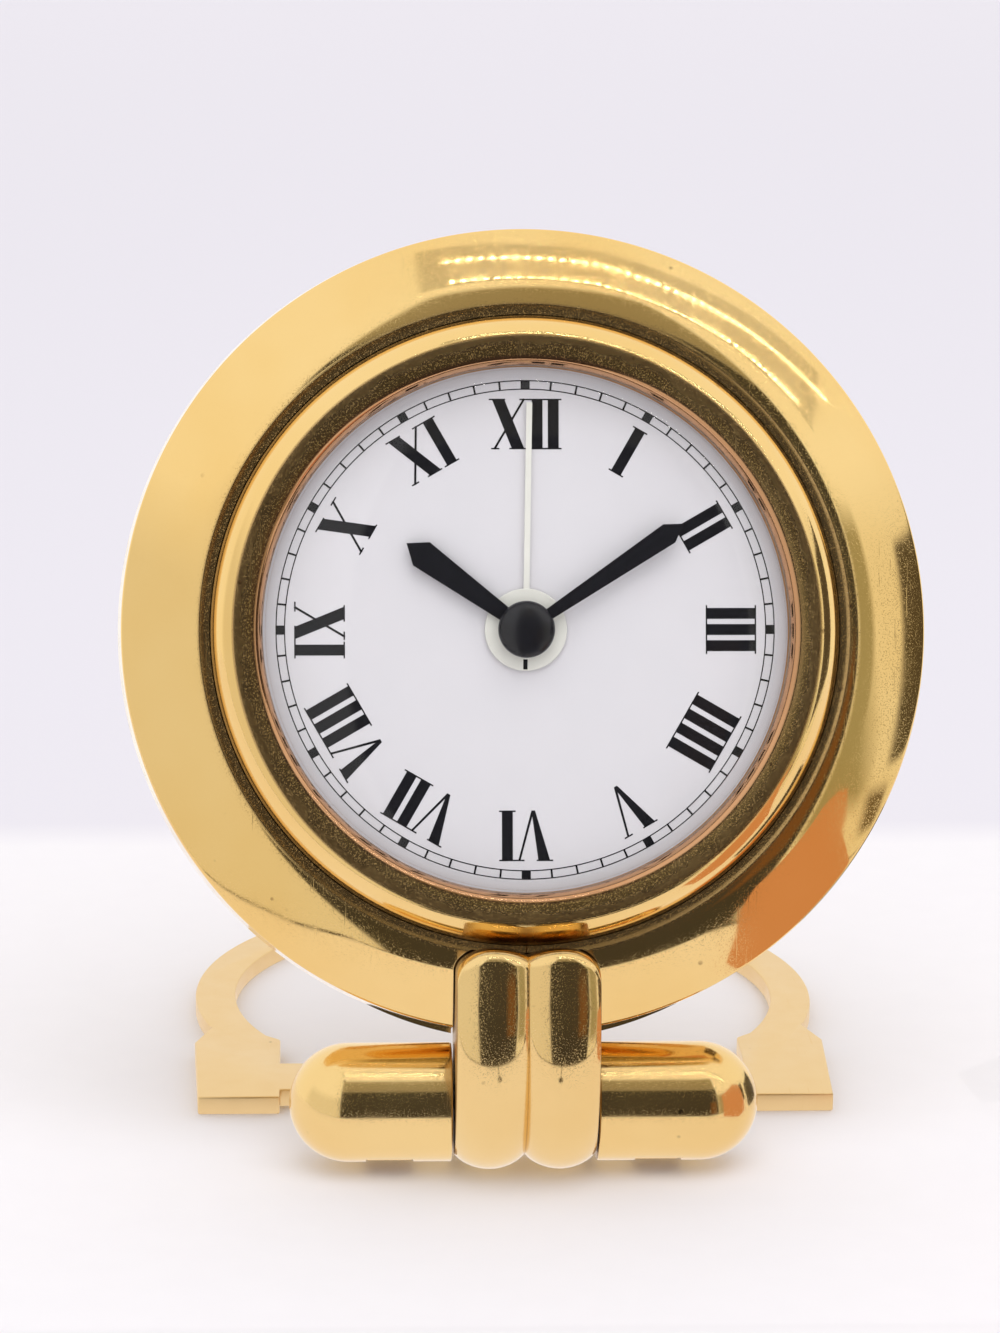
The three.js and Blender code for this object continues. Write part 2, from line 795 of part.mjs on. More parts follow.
function bracketScrews() {
  const seat = bracketScrewSeat() + seatGap;
  return [-lobeHalf, lobeHalf].map((x) =>
    join(
      rodAlongY(bracketScrewRadius, x, bracketScrewTip(), seat + weld, bracketScrewLevel),
      rodAlongY(bracketScrewHead, x, seat, seat + bracketScrewHeadHeight, bracketScrewLevel),
    ),
  );
}

place(leaningCase, 'knot_bracket', knotBracket(), 'gold');
placeEach(leaningCase, ['left_bracket_screw', 'right_bracket_screw'], bracketScrews(), 'steel');

// Case ring: domed outer ring with a channel, a bezel shelf, a back recess, a chin and the bracket's notch
function caseRing() {
  const domeWidth = ringWidth + domeLean;
  const leanAngle = Math.acos(domeLean / domeWidth);
  const domeHeight = ringHeight / Math.sin(leanAngle);
  const domeEnd = THREE.MathUtils.radToDeg(leanAngle);
  const profile = [
    [ringBore, recessLevel],
    [recessRadius, recessLevel],
    [recessRadius, caseBackLevel],
    [caseRadius - rimRound, caseBackLevel],
    ...arcPoints([caseRadius - rimRound, equatorLevel], rimRound, rimHeight, -60, 0, 2),
    ...arcPoints([ringCrestRadius - domeLean, equatorLevel], domeWidth, domeHeight, 0, domeEnd, 9).slice(1),
    [ringCrestRadius - crestEdge, ringCrestLevel - crestEdge],
    [ringCrestRadius - crestEdge, channelLevel],
    [ringMouthRadius, channelLevel],
    [ringMouthRadius, shelfLevel],
    [ringBore, shelfLevel],
  ];
  const body = turned(profile, wideSides);
  const chinShape = new THREE.Shape().absarc(0, -chinDrop, chinRadius, 0, 2 * Math.PI);
  const chin = cut(
    prism(chinShape, caseBackLevel, equatorLevel, middleSides),
    disc(caseRadius - chinSeat, caseBackLevel - overrun, equatorLevel + overrun, undefined, wideSides),
  );
  const notch = prism(knotFrontView(fitGap), caseBackLevel - overrun, ringCrestLevel + overrun).translate([
    0,
    -hingeDrop,
    0,
  ]);
  const holeRadius = bracketScrewRadius + runningGap;
  const holeEnd = notchTop - hingeDrop - overrun;
  const bracketHoles = [-lobeHalf, lobeHalf].map((x) =>
    rodAlongY(holeRadius, x, holeEnd, overrun - ringBore, bracketScrewLevel),
  );
  const backHoles = backScrewPlaces().map((spot) =>
    disc(backScrewRadius + runningGap, recessLevel - overrun, flangeLevel + backScrewLength, spot),
  );
  return cut(join(body, chin), notch, ...bracketHoles, ...backHoles);
}

function backScrewPlaces() {
  const places = [];
  for (let screw = 0; screw < backScrewCount; screw += 1) {
    places.push(polar(flangeRadius - backScrewInset, (360 * (screw + 0.5)) / backScrewCount));
  }
  return places;
}

// Bezel: a sloping lip, a hollow flank and a bead that falls away to the channel
function bezel() {
  const beadReach = beadWidth + beadLean;
  const leanAngle = Math.acos(beadLean / beadReach);
  const beadRise = beadHeight / Math.sin(leanAngle);
  const beadEnd = THREE.MathUtils.radToDeg(leanAngle);
  return turned(
    [
      [bezelBore, crystalBack],
      [ringBore, crystalBack],
      [ringBore, bezelBack],
      [bezelRadius, bezelBack],
      ...arcPoints([cavettoRadius - beadLean, beadFoot], beadReach, beadRise, 0, beadEnd, 7),
      ...arcPoints([lipOuterRadius, crestTop], cavettoWidth, cavettoRise, 0, -90, 3).slice(2),
      ...arcPoints([openingRadius + lipWidth, lipTop], lipWidth, lipRise, 90, 180, 3).slice(1),
      [openingRadius, lipBack],
      [bezelBore, lipBack],
    ],
    wideSides,
  );
}

function crystal() {
  const domeRadius = openingRadius - domeInset;
  const innerRadius = domeRadius - domeThickness;
  const innerRise = domeRise + crystalRim - domeThickness;
  return turned(
    [
      [0, crystalBack + innerRise],
      ...arcPoints([0, crystalBack], innerRadius, innerRise, 90, 0, 5).slice(1),
      [crystalRadius, crystalBack],
      [crystalRadius, crystalRimTop],
      ...arcPoints([0, crystalRimTop], domeRadius, domeRise, 0, 90, 6).slice(0, -1),
      [0, crystalRimTop + domeRise],
    ],
    wideSides,
  );
}

function dial() {
  const plate = disc(dialRadius, dialBack, dialTop, undefined, wideSides);
  const feet = [-1, 1].map((side) =>
    disc(
      dialFootRadius,
      dialBack - dialFootLength,
      dialBack + dialThickness / 2,
      new THREE.Vector2(side * (mainPlateRadius - dialFootInset), 0),
    ),
  );
  return cut(join(plate, ...feet), disc(plateHoleRadius, dialBack - overrun, dialTop + overrun));
}

place(face, 'case_ring', caseRing(), 'gold');
place(face, 'bezel', bezel(), 'gold');
place(face, 'crystal', crystal(), 'crystal');
place(
  face,
  'crystal_gasket',
  ring(gasketInner, gasketOuter, crystalBack, crystalRimTop, wideSides),
  'rubber',
);
place(
  face,
  'reflector_ring',
  ring(openingRadius, crystalRadius, reflectorBack, reflectorBack + reflectorHeight, wideSides),
  'copper',
);
place(face, 'dial', dial(), 'enamel');

// Movement: main plate in front, cover behind, wheels between them
function mainPlate() {
  const feetHoles = [-1, 1].map((side) =>
    disc(
      dialFootRadius + runningGap,
      mainPlateBack - overrun,
      mainPlateTop + overrun,
      new THREE.Vector2(side * (mainPlateRadius - dialFootInset), 0),
    ),
  );
  const screwHoles = movementScrewPlaces().map((spot) =>
    disc(movementScrewRadius + runningGap, mainPlateBack - overrun, mainPlateTop + overrun, spot),
  );
  return cut(
    disc(mainPlateRadius, mainPlateBack, mainPlateTop, undefined, middleSides),
    disc(plateHoleRadius, mainPlateBack - overrun, mainPlateTop + overrun),
    ...feetHoles,
    ...screwHoles,
  );
}

function movementScrewPlaces() {
  const places = [];
  for (let screw = 0; screw < movementScrewCount; screw += 1) {
    const degrees = movementScrewDegrees + (360 * screw) / movementScrewCount;
    places.push(polar(coverInner - movementScrewInset, degrees));
  }
  return places;
}

function movementCover() {
  const wallTop = mainPlateBack - seatGap;
  const cup = turned(
    [
      [0, coverBack],
      [coverRadius, coverBack],
      [coverRadius, wallTop],
      [coverInner, wallTop],
      [coverInner, coverFloorTop],
      [0, coverFloorTop],
    ],
    middleSides,
  );
  const posts = movementScrewPlaces().map((spot) =>
    disc(movementPostRadius, coverFloorTop - weld, wallTop, spot),
  );
  const pilots = movementScrewPlaces().map((spot) =>
    disc(movementScrewRadius + runningGap, coverBack - overrun, wallTop + overrun, spot),
  );
  const studTop = hourWheelBack + wheelThickness;
  const stud = disc(studRadius, coverFloorTop - weld, studTop, minuteWheelPlace);
  const shoulderTop = minuteWheelBack - fitGap;
  const shoulder = disc(studRadius + tubeWall, coverFloorTop - weld, shoulderTop, minuteWheelPlace);
  const through = (radius, spot) => disc(radius, coverBack - overrun, coverFloorTop + overrun, spot);
  const tongueHalf = (switchTongue + fitGap) / 2;
  return cut(
    join(cup, ...posts, stud, shoulder),
    through(arborRadius + runningGap),
    through(knobStemRadius + runningGap, timeKnobPlace),
    through(knobStemRadius + runningGap, alarmKnobPlace),
    disc(cellRadius + fitGap, coverBack - overrun, coverFloorTop + overrun, cellPlace, middleSides),
    box(
      switchX - tongueHalf,
      switchX + tongueHalf,
      switchY - tongueHalf,
      switchY + switchTravel + tongueHalf,
      coverBack - overrun,
      coverFloorTop + overrun,
    ),
    ...pilots,
  );
}

function movementScrews() {
  const headBack = mainPlateTop;
  const tip = coverBack + seatGap;
  return movementScrewPlaces().map((spot) => disc(movementScrewRadius, tip, headBack, spot));
}

place(
  face,
  'movement_holder',
  ring(holderInner, holderOuter, flangeLevel + seatGap, dialBack - seatGap, middleSides),
  'palePlastic',
);
place(face, 'main_plate', mainPlate(), 'palePlastic');
place(face, 'movement_cover', movementCover(), 'palePlastic');
placeEach(face, ['movement_screw_1', 'movement_screw_2', 'movement_screw_3'], movementScrews(), 'steel');

// Centre arbor: centre wheel and cannon pinion in one turned piece
function centreWheel() {
  return join(
    disc(arborRadius, coverBack, capBack + arborTip),
    wheel(centreTeeth, centreModule, centreWheelBack, driveDegrees, false),
    wheel(cannonTeeth, motionModule, minuteWheelBack, minuteWheelDegrees, false),
  );
}

function minuteWheel() {
  const large = wheel(minuteTeeth, motionModule, minuteWheelBack, minuteWheelDegrees + 180, true);
  const small = wheel(minutePinionTeeth, motionModule, hourWheelBack, minuteWheelDegrees + 180, false);
  const hub = disc(studRadius + tubeWall, minuteWheelBack, hourWheelBack + wheelThickness);
  const bore = disc(studRadius + runningGap, minuteWheelBack - overrun, hourWheelBack + overrun);
  return cut(join(large, small, hub), bore).translate([minuteWheelPlace.x, minuteWheelPlace.y, 0]);
}

function hourWheel() {
  const tube = disc(hourTubeOuter, hourWheelBack, hourHandBack + handThickness);
  const bore = disc(hourTubeInner, hourWheelBack - overrun, hourHandBack + overrun);
  return cut(join(wheel(hourTeeth, motionModule, hourWheelBack, minuteWheelDegrees, true), tube), bore);
}

function alarmWheel() {
  const tube = disc(alarmTubeOuter, alarmWheelBack, alarmHandBack + handThickness);
  const bore = disc(alarmTubeInner, alarmWheelBack - overrun, alarmHandBack + overrun);
  return cut(join(wheel(alarmTeeth, alarmModule, alarmWheelBack, alarmKnobDegrees, false), tube), bore);
}

function drivePinion() {
  const pinion = wheel(driveTeeth, centreModule, centreWheelBack, driveDegrees + 180, true);
  const arborBack = gearboxBack + gearboxHeight / 2;
  const arbor = disc(arborRadius / 2, arborBack, centreWheelBack + wheelThickness / 2);
  return join(pinion, arbor).translate([drivePlace.x, drivePlace.y, 0]);
}

function gearbox() {
  const block = box(
    gearboxX - gearboxWidth / 2,
    gearboxX + gearboxWidth / 2,
    gearboxY - gearboxLength / 2,
    gearboxY + gearboxLength / 2,
    gearboxBack,
    gearboxBack + gearboxHeight,
  );
  const socketBack = gearboxBack + gearboxHeight / 2 - runningGap;
  const socket = disc(arborRadius / 2 + runningGap, socketBack, centreWheelBack, drivePlace);
  return cut(block, socket);
}

place(face, 'centre_wheel', centreWheel(), 'brass');
place(face, 'minute_wheel', minuteWheel(), 'brass');
place(face, 'hour_wheel', hourWheel(), 'brass');
place(face, 'alarm_wheel', alarmWheel(), 'palePlastic');
place(face, 'motor_gearbox', gearbox(), 'darkPlastic');
place(face, 'drive_pinion', drivePinion(), 'brass');

// Hands: kite-shaped blades on round hubs, and the thin alarm hand on its disc
function bladeHand(length, tip, shoulderWidth, neck, bore, back) {
  const shoulder = length - tip;
  const blade = outline([
    [-neck / 2, 0],
    [neck / 2, 0],
    [shoulderWidth / 2, shoulder],
    [0, length],
    [-shoulderWidth / 2, shoulder],
  ]);
  const front = back + handThickness;
  return cut(
    join(prism(blade, back, front), disc(handHubRadius, back, front)),
    disc(bore + runningGap, back - overrun, front + overrun),
  );
}

function alarmHand() {
  const front = alarmHandBack + handThickness;
  const half = alarmWidth / 2;
  const baton = outline([[-half, 0], [half, 0], [half, alarmLength], [-half, alarmLength]]);
  const slotHalf = alarmSlotWidth / 2;
  const slot = box(
    -slotHalf,
    slotHalf,
    -alarmDiscRadius - overrun,
    alarmSlotLength - alarmDiscRadius,
    alarmHandBack - overrun,
    front + overrun,
  );
  const plate = disc(alarmDiscRadius, alarmHandBack, front, undefined, middleSides);
  return cut(
    join(prism(baton, alarmHandBack, front), plate),
    slot,
    disc(alarmTubeOuter + runningGap, alarmHandBack - overrun, front + overrun),
  );
}

function handCap() {
  const dome = turned(
    [
      [0, capBack],
      ...arcPoints([0, capBack], capRadius, capHeight, 0, 90, 4).slice(0, -1),
      [0, capBack + capHeight],
    ],
    middleSides,
  );
  return cut(dome, disc(arborRadius + runningGap, capBack - overrun, capBack + capSocketDepth));
}

const minuteHand = bladeHand(
  minuteLength,
  minuteTip,
  minuteShoulderWidth,
  minuteNeck,
  arborRadius,
  minuteHandBack,
);
const hourHand = bladeHand(
  hourLength,
  hourTip,
  hourShoulderWidth,
  hourNeck,
  hourTubeOuter,
  hourHandBack,
);
place(face, 'minute_hand', minuteHand, 'blackPaint').rotation.z = -radians(minuteDegrees);
place(face, 'hour_hand', hourHand, 'blackPaint').rotation.z = -radians(hourDegrees);
place(face, 'alarm_hand', alarmHand(), 'cream').rotation.z = -radians(alarmDegrees);
place(face, 'hand_cap', handCap(), 'blackPaint');

// Electric parts
function motorCoil() {
  const half = coilLength / 2;
  const middleLevel = coverFloorTop + statorThickness + seatGap + seatGap + coilFlange;
  const coreLength = coilLength - coilFlangeWidth;
  const core = new THREE.CylinderGeometry(coilRadius, coilRadius, coreLength, narrowSides);
  const flanges = [-1, 1].map((side) => {
    const flange = new THREE.CylinderGeometry(coilFlange, coilFlange, coilFlangeWidth, narrowSides);
    return solid(flange.translate(0, side * (half - coilFlangeWidth / 2), 0));
  });
  return join(solid(core), ...flanges).translate([coilX, coilY, middleLevel]);
}

function stator() {
  const low = coverFloorTop + seatGap;
  const high = low + statorThickness;
  const inner = gearboxX + gearboxWidth / 2 + fitGap;
  const outer = coilX + statorArm / 2;
  const half = coilLength / 2 - coilFlangeWidth;
  const arms = [-1, 1].map((side) => {
    const middle = coilY + side * (half - statorArm / 2);
    return box(inner, outer, middle - statorArm / 2, middle + statorArm / 2, low, high);
  });
  const back = box(coilX - statorArm / 2, outer, coilY - half, coilY + half, low, high);
  return join(back, ...arms);
}

function circuitBoard() {
  const low = coverFloorTop + seatGap;
  const high = low + boardThickness;
  const board = disc(coverInner - boardInset, low, high, undefined, middleSides);
  const clear = (radius, spot) => disc(radius, low - overrun, high + overrun, spot);
  return cut(
    board,
    box(boardRightEdge, caseRadius, -caseRadius, caseRadius, low - overrun, high + overrun),
    box(-caseRadius, caseRadius, -caseRadius, boardLowerEdge, low - overrun, high + overrun),
    clear(knobStemRadius + fitGap, alarmKnobPlace),
    ...movementScrewPlaces().map((spot) => clear(movementPostRadius + fitGap, spot)),
  );
}

function quartzCan() {
  const level = coverFloorTop + seatGap + boardThickness + seatGap + canRadius;
  return rodAlongY(canRadius, canPlace.x, canPlace.y - canLength / 2, canPlace.y + canLength / 2, level);
}

function buzzerDisc() {
  const low = coverFloorTop + seatGap;
  return disc(buzzerRadius, low, low + buzzerThickness, buzzerPlace, middleSides);
}

const cellBack = coverFloorTop + contactThickness;

function batteryCell() {
  return turned(
    [
      [0, cellBack],
      [cellRadius, cellBack],
      [cellRadius, cellBack + cellHeight - cellEdge],
      [cellRadius - cellEdge, cellBack + cellHeight],
      [0, cellBack + cellHeight],
    ],
    middleSides,
  ).translate([cellPlace.x, cellPlace.y, 0]);
}

function batteryContacts() {
  const top = cellBack + cellHeight + seatGap;
  const half = contactWidth / 2;
  const centreLeaf = box(
    -half,
    half,
    cellPlace.y - contactLength / 2,
    cellPlace.y + contactLength / 2,
    top,
    top + contactThickness,
  );
  const sideX = cellRadius + seatGap;
  const sideLeaf = box(
    sideX,
    sideX + contactThickness,
    cellPlace.y - half,
    cellPlace.y + half,
    cellBack,
    cellBack + cellHeight / 2,
  );
  return [centreLeaf, sideLeaf];
}

function alarmSpring() {
  const low = coverFloorTop + seatGap;
  const left = switchX + switchTongue / 2 + alarmSpringGap;
  const front = switchY - switchTongue / 2;
  return box(
    left,
    left + alarmSpringWidth,
    front,
    front + alarmSpringLength,
    low,
    low + alarmSpringThickness,
  );
}

place(face, 'motor_coil', motorCoil(), 'copper');
place(face, 'stator', stator(), 'steel');
place(face, 'circuit_board', circuitBoard(), 'circuit');
place(face, 'quartz_can', quartzCan(), 'steel');
place(face, 'buzzer_disc', buzzerDisc(), 'brass');
place(face, 'battery_cell', batteryCell(), 'steel');
placeEach(face, ['battery_centre_contact', 'battery_side_contact'], batteryContacts(), 'brass');
place(face, 'alarm_contact_spring', alarmSpring(), 'brass');

// Case back: a flange in the ring's recess and a raised boss with the controls
function caseBack() {
  const shell = turned(
    [
      [0, backFloorBack],
      [bossRadius - backEdge, backFloorBack],
      [bossRadius, backFloorBack + backEdge],
      [bossRadius, caseBackLevel],
      [flangeRadius, caseBackLevel],
      [flangeRadius, flangeLevel],
      [bossInner, flangeLevel],
      [bossInner, backFloorTop],
      [0, backFloorTop],
    ],
    wideSides,
  );
  const through = (radius, spot, sides) =>
    disc(radius, backFloorBack - overrun, backFloorTop + overrun, spot, sides);
  const screwCuts = backScrewPlaces().map((spot) =>
    join(
      disc(backScrewRadius + runningGap, caseBackLevel - overrun, flangeLevel + overrun, spot),
      disc(backScrewHead + runningGap, caseBackLevel - overrun, caseBackLevel + flangeThickness / 2, spot),
    ),
  );
  const holes = [];
  for (let hole = 0; hole < soundHoleCount; hole += 1) {
    const offset = (hole - (soundHoleCount - 1) / 2) * soundHoleSpacing;
    holes.push(through(soundHoleRadius, new THREE.Vector2(buzzerPlace.x, buzzerPlace.y + offset)));
  }
  return cut(
    shell,
    through(knobRadius + fitGap, timeKnobPlace, middleSides),
    through(knobRadius + fitGap, alarmKnobPlace, middleSides),
    through(hatchRadius + fitGap, cellPlace, middleSides),
    box(
      switchX - switchWidth / 2 - fitGap,
      switchX + switchWidth / 2 + fitGap,
      switchY - switchLength / 2 - fitGap,
      switchY + switchTravel + switchLength / 2 + fitGap,
      backFloorBack - overrun,
      backFloorTop + overrun,
    ),
    ...holes,
    ...screwCuts,
  );
}

function backScrews() {
  const headTop = caseBackLevel + flangeThickness / 2 - seatGap;
  return backScrewPlaces().map((spot) =>
    join(
      disc(backScrewHead, caseBackLevel, headTop, spot),
      disc(backScrewRadius, caseBackLevel, flangeLevel + backScrewLength - seatGap, spot),
    ),
  );
}

// Knob: notched head flush in the back, a stem and a pinion inside
function knob(spot, pinionModule, pinionBack, aimDegrees, aimsGap) {
  const head = disc(knobRadius, controlLevel, controlHeadTop, undefined, middleSides);
  const notches = [];
  for (let notch = 0; notch < knobNotchCount; notch += 1) {
    const rim = polar(knobRadius + knobNotchRadius / 2, (360 * notch) / knobNotchCount);
    const [back, front] = [controlLevel - overrun, controlHeadTop + overrun];
    notches.push(disc(knobNotchRadius, back, front, rim, knobNotchSides));
  }
  const slotHalf = knobSlotWidth / 2;
  const slotReach = knobRadius * knobSlotShare;
  const slotFloor = controlLevel + knobSlotDepth;
  const slot = box(-slotReach, slotReach, -slotHalf, slotHalf, controlLevel - overrun, slotFloor);
  const stem = disc(knobStemRadius, slotFloor, pinionBack + wheelThickness);
  const pinion = wheel(knobTeeth, pinionModule, pinionBack, aimDegrees, aimsGap);
  return join(cut(head, slot, ...notches), stem, pinion).translate([spot.x, spot.y, 0]);
}

function alarmSwitch() {
  const half = switchWidth / 2;
  const tongueHalf = switchTongue / 2;
  return join(
    box(
      switchX - half,
      switchX + half,
      switchY - switchLength / 2,
      switchY + switchLength / 2,
      controlLevel,
      controlHeadTop,
    ),
    box(
      switchX - tongueHalf,
      switchX + tongueHalf,
      switchY - tongueHalf,
      switchY + tongueHalf,
      controlHeadTop,
      coverFloorTop + wheelGap,
    ),
  );
}

function batteryHatch() {
  const bossTop = coverBack + seatGap;
  const slotHalf = coinSlotWidth / 2;
  const slotReach = coinSlotLength / 2;
  const slotFloor = controlLevel + coinSlotDepth;
  const slot = box(-slotReach, slotReach, -slotHalf, slotHalf, controlLevel - overrun, slotFloor);
  const plug = join(
    disc(hatchRadius, controlLevel, controlHeadTop, undefined, middleSides),
    disc(hatchBossRadius, controlHeadTop - weld, bossTop, undefined, middleSides),
  );
  return cut(plug, slot).translate([cellPlace.x, cellPlace.y, 0]);
}

function hatchSealRing() {
  const inner = hatchBossRadius + runningGap;
  const low = controlHeadTop + runningGap;
  const seal = ring(inner, inner + hatchSeal, low, coverBack, middleSides);
  return seal.translate([cellPlace.x, cellPlace.y, 0]);
}

function backGasket() {
  const inner = ringBore + fitGap;
  const low = flangeLevel + seatGap;
  return ring(inner, inner + backGasketWidth, low, low + gasketThickness, middleSides);
}

const timeKnob = knob(timeKnobPlace, motionModule, minuteWheelBack, timeKnobDegrees + 180, false);
const alarmKnob = knob(alarmKnobPlace, alarmModule, alarmWheelBack, alarmKnobDegrees + 180, true);
place(face, 'case_back', caseBack(), 'gold');
place(face, 'back_gasket', backGasket(), 'rubber');
placeEach(face, ['back_screw_1', 'back_screw_2', 'back_screw_3', 'back_screw_4'], backScrews(), 'steel');
place(face, 'time_knob', timeKnob, 'darkPlastic');
place(face, 'alarm_knob', alarmKnob, 'darkPlastic');
place(face, 'alarm_switch', alarmSwitch(), 'darkPlastic');
place(face, 'battery_hatch', batteryHatch(), 'gold');
place(face, 'hatch_seal', hatchSealRing(), 'rubber');

// Centre the footprint and stand the part on the ground
clock.updateMatrixWorld(true);
const extent = new THREE.Box3().setFromObject(clock, true);
const middle = extent.getCenter(new THREE.Vector3());
clock.position.set(-middle.x, -middle.y, -extent.min.z);
clock.updateMatrixWorld(true);

export default clock;
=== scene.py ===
# Looks of the round travel clock: gold ring case on a folding arch stand, white dial with Roman hours.
# Sizes are written in millimetres and become metres where a mesh is made.

import json
import math

import bmesh
import bpy
from mathutils import Matrix, Vector


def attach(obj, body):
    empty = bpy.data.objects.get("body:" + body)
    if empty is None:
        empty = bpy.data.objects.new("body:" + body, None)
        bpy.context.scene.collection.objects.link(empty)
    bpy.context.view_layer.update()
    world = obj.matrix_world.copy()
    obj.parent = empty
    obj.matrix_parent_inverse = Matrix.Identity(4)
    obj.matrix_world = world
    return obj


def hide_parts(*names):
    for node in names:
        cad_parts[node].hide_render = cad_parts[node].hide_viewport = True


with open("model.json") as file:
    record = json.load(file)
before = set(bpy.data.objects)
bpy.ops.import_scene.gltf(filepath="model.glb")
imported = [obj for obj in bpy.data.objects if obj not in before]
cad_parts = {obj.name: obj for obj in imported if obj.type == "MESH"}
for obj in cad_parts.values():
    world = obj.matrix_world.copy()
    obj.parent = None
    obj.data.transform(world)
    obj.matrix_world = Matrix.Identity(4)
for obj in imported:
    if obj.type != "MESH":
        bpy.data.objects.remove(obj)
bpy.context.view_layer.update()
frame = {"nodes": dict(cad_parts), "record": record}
MM = 0.001

# Places of the moving frames
HINGE = Vector((0.0, -28.17676, 5.3))
LEAN = math.radians(15.8)
HINGE_DROP = 37.66
STAND = Matrix.Translation(HINGE)
CASE = STAND @ Matrix.Rotation(math.pi / 2 - LEAN, 4, "X")
FACE = CASE @ Matrix.Translation((0, HINGE_DROP, 0))

# Stand and hinge, in the frame of the hinge's axis
PLATE_TOP = -3.75
PLATE_BOTTOM = -5.3
BARREL = 5.3
CAPSULE = 4.75
CAPSULE_INNER = 5.82
CAPSULE_REACH = 18.78
CAPSULE_EDGE = 0.14
BORE = 1.58
EYE = 2.6
ARM_INNER = 9.0
ARM_OUTER = 12.5
ARM_GAP = 0.15
AXLE_REACH = 14.7
WASHER_R = 3.5
WASHER_SEAT = 6.45
ARCH_INNER = 23.6
ARCH_OUTER = 27.1

# Levels of the case, from the hinge plane towards the viewer
BACK_PLANE = -3.4
EQUATOR = -2.2
RING_CREST = 5.3
GROOVE = 5.18
SHELF = 4.0
DIAL_BACK = 4.6
DIAL = 5.0
CRYSTAL_BACK = 5.65
CRYSTAL_RIM = 6.25
LIP_BACK = 6.4
LIP_TOP = 6.65
FLANK = 8.0
BEZEL_CREST = 8.15
BEAD_FOOT = 4.75
DOME = 3.2

# Radii of the case
OPENING = 20.8
LIP = 21.6
COVE = 23.1
BEZEL = 24.95
MOUTH = 25.1
CHANNEL = 25.8
CASE_R = 32.5
GROOVE_MOUTH = 25.0
RIM = 0.35
BEAD_LEAN = 0.5
RING_BORE = 22.96
BEZEL_BORE = 22.41
CRYSTAL_R = 21.95
DIAL_R = 22.66
DIAL_HOLE = 1.4
BOSS = 17.6
FLANGE = 30.3

# Case back: its wall, the openings for its controls, the knurled rims and the holes
COVER = -4.75
COVER_INSIDE = -3.95
CUT_FROM, CUT_TO = -7.0, -3.0
TIME_KNOB = (4.4589, 10.0148)
ALARM_KNOB = (-7.6085, 2.4721)
KNOB_HOLE = 3.8
HATCH = (0.0, -9.9)
HATCH_HOLE = 6.6
SWITCH = (11.4, -5.4)
SWITCH_HALF, SWITCH_BELOW, SWITCH_ABOVE = 1.8, 1.3, 4.3
KNURL = 3.66
KNURL_TEETH = 48
KNURL_DEPTH = 0.1
SOUND_HOLES = 5
SOUND_HOLE = 0.45
SOUND_PITCH = 1.5
BUZZER_REACH, BUZZER_AT = 11.54, math.radians(206.8)
SCREWS = 4
SCREW_CIRCLE = 28.4
SCREW_HOLE = 1.13
SCREW_FLOOR = -2.95
SLOT_LENGTH, SLOT_WIDTH, SLOT_DEPTH = 1.7, 0.3, 0.022
SLOT_TURN, SLOT_TURN_STEP = math.radians(20), math.radians(47)

# Slope of the ring's face in degrees at each radius
FACE_SLOPE = [
    (25.8, 7.0), (26.0, 9.5), (26.6, 14.8), (27.1, 18.7), (27.6, 22.0), (28.0, 24.0),
    (28.7, 24.8), (29.5, 25.6), (30.3, 27.0), (31.0, 28.0), (31.5, 29.0), (31.9, 30.5),
]

# Knot bracket, measured up from the hinge and forward from its plane
KNOT_HALF = 5.63
KNOT_TOP = 12.55
KNOT_FRONT = 10.5
KNOT_FLAT = 8.2
KNOT_REAR = -2.2
KNOT_ROUND = 1.1
LOBE_ROUND = 0.54
LOBE_EDGE = 0.12
LOBE_DEEPENS = 1.0
KNOT_CUSP = 0.55
KNOT_CORNER = 1.9
NOTCH_GAP = 0.12

# Hands: turned in degrees clockwise from twelve, each on its own level
HAND_THICK = 0.25
MINUTE_LEVEL, HOUR_LEVEL, ALARM_LEVEL = 6.25, 5.75, 5.25
MINUTE_HAND = {"length": 15.0, "tip": 1.4, "shoulder_width": 1.73, "neck": 0.75, "turn": 56.2}
HOUR_HAND = {"length": 11.65, "tip": 1.45, "shoulder_width": 2.27, "neck": 0.93, "turn": 305.9}
MINUTE_BORE, HOUR_BORE, ALARM_BORE = 0.68, 1.13, 1.58
HUB = 1.9
ALARM_AT = 1.0
ALARM_DISC = 3.25
BATON_HALF, BATON_FROM, BATON_TO, BATON_THICK = 0.23, 3.0, 18.0, 0.2
MARK_HALF, MARK_FROM, MARK_TO = 0.17, -3.15, -2.35
CAP_R, CAP_FOOT, CAP_RISE, CAP_HOLLOW = 2.25, 6.65, 0.9, 7.2

# Dial print
TRACK_INNER = 19.02
TRACK_OUTER = 19.78
TRACK_LINE = 0.085
TICK = 0.15
FIFTH_TICK = 0.72
PRINT_FOOT = 0.004
PRINT_HIGH = 0.016
TICK_HIGH = 0.0185
STROKE_STEP = 0.0007
NUMERAL_OUTER = 18.3
NUMERAL_INNER = 14.3


# Mesh helpers
def make(name, verts, faces, place, body, stands_for=(), sharp=32.0):
    """A mesh object at the origin, its points given in millimetres in the frame `place`."""
    mesh = bpy.data.meshes.new(name)
    points = [(place @ Vector(v)) * MM for v in verts]
    mesh.from_pydata(points, [], faces)
    mesh.validate()
    return finish_mesh(name, mesh, body, stands_for, sharp)


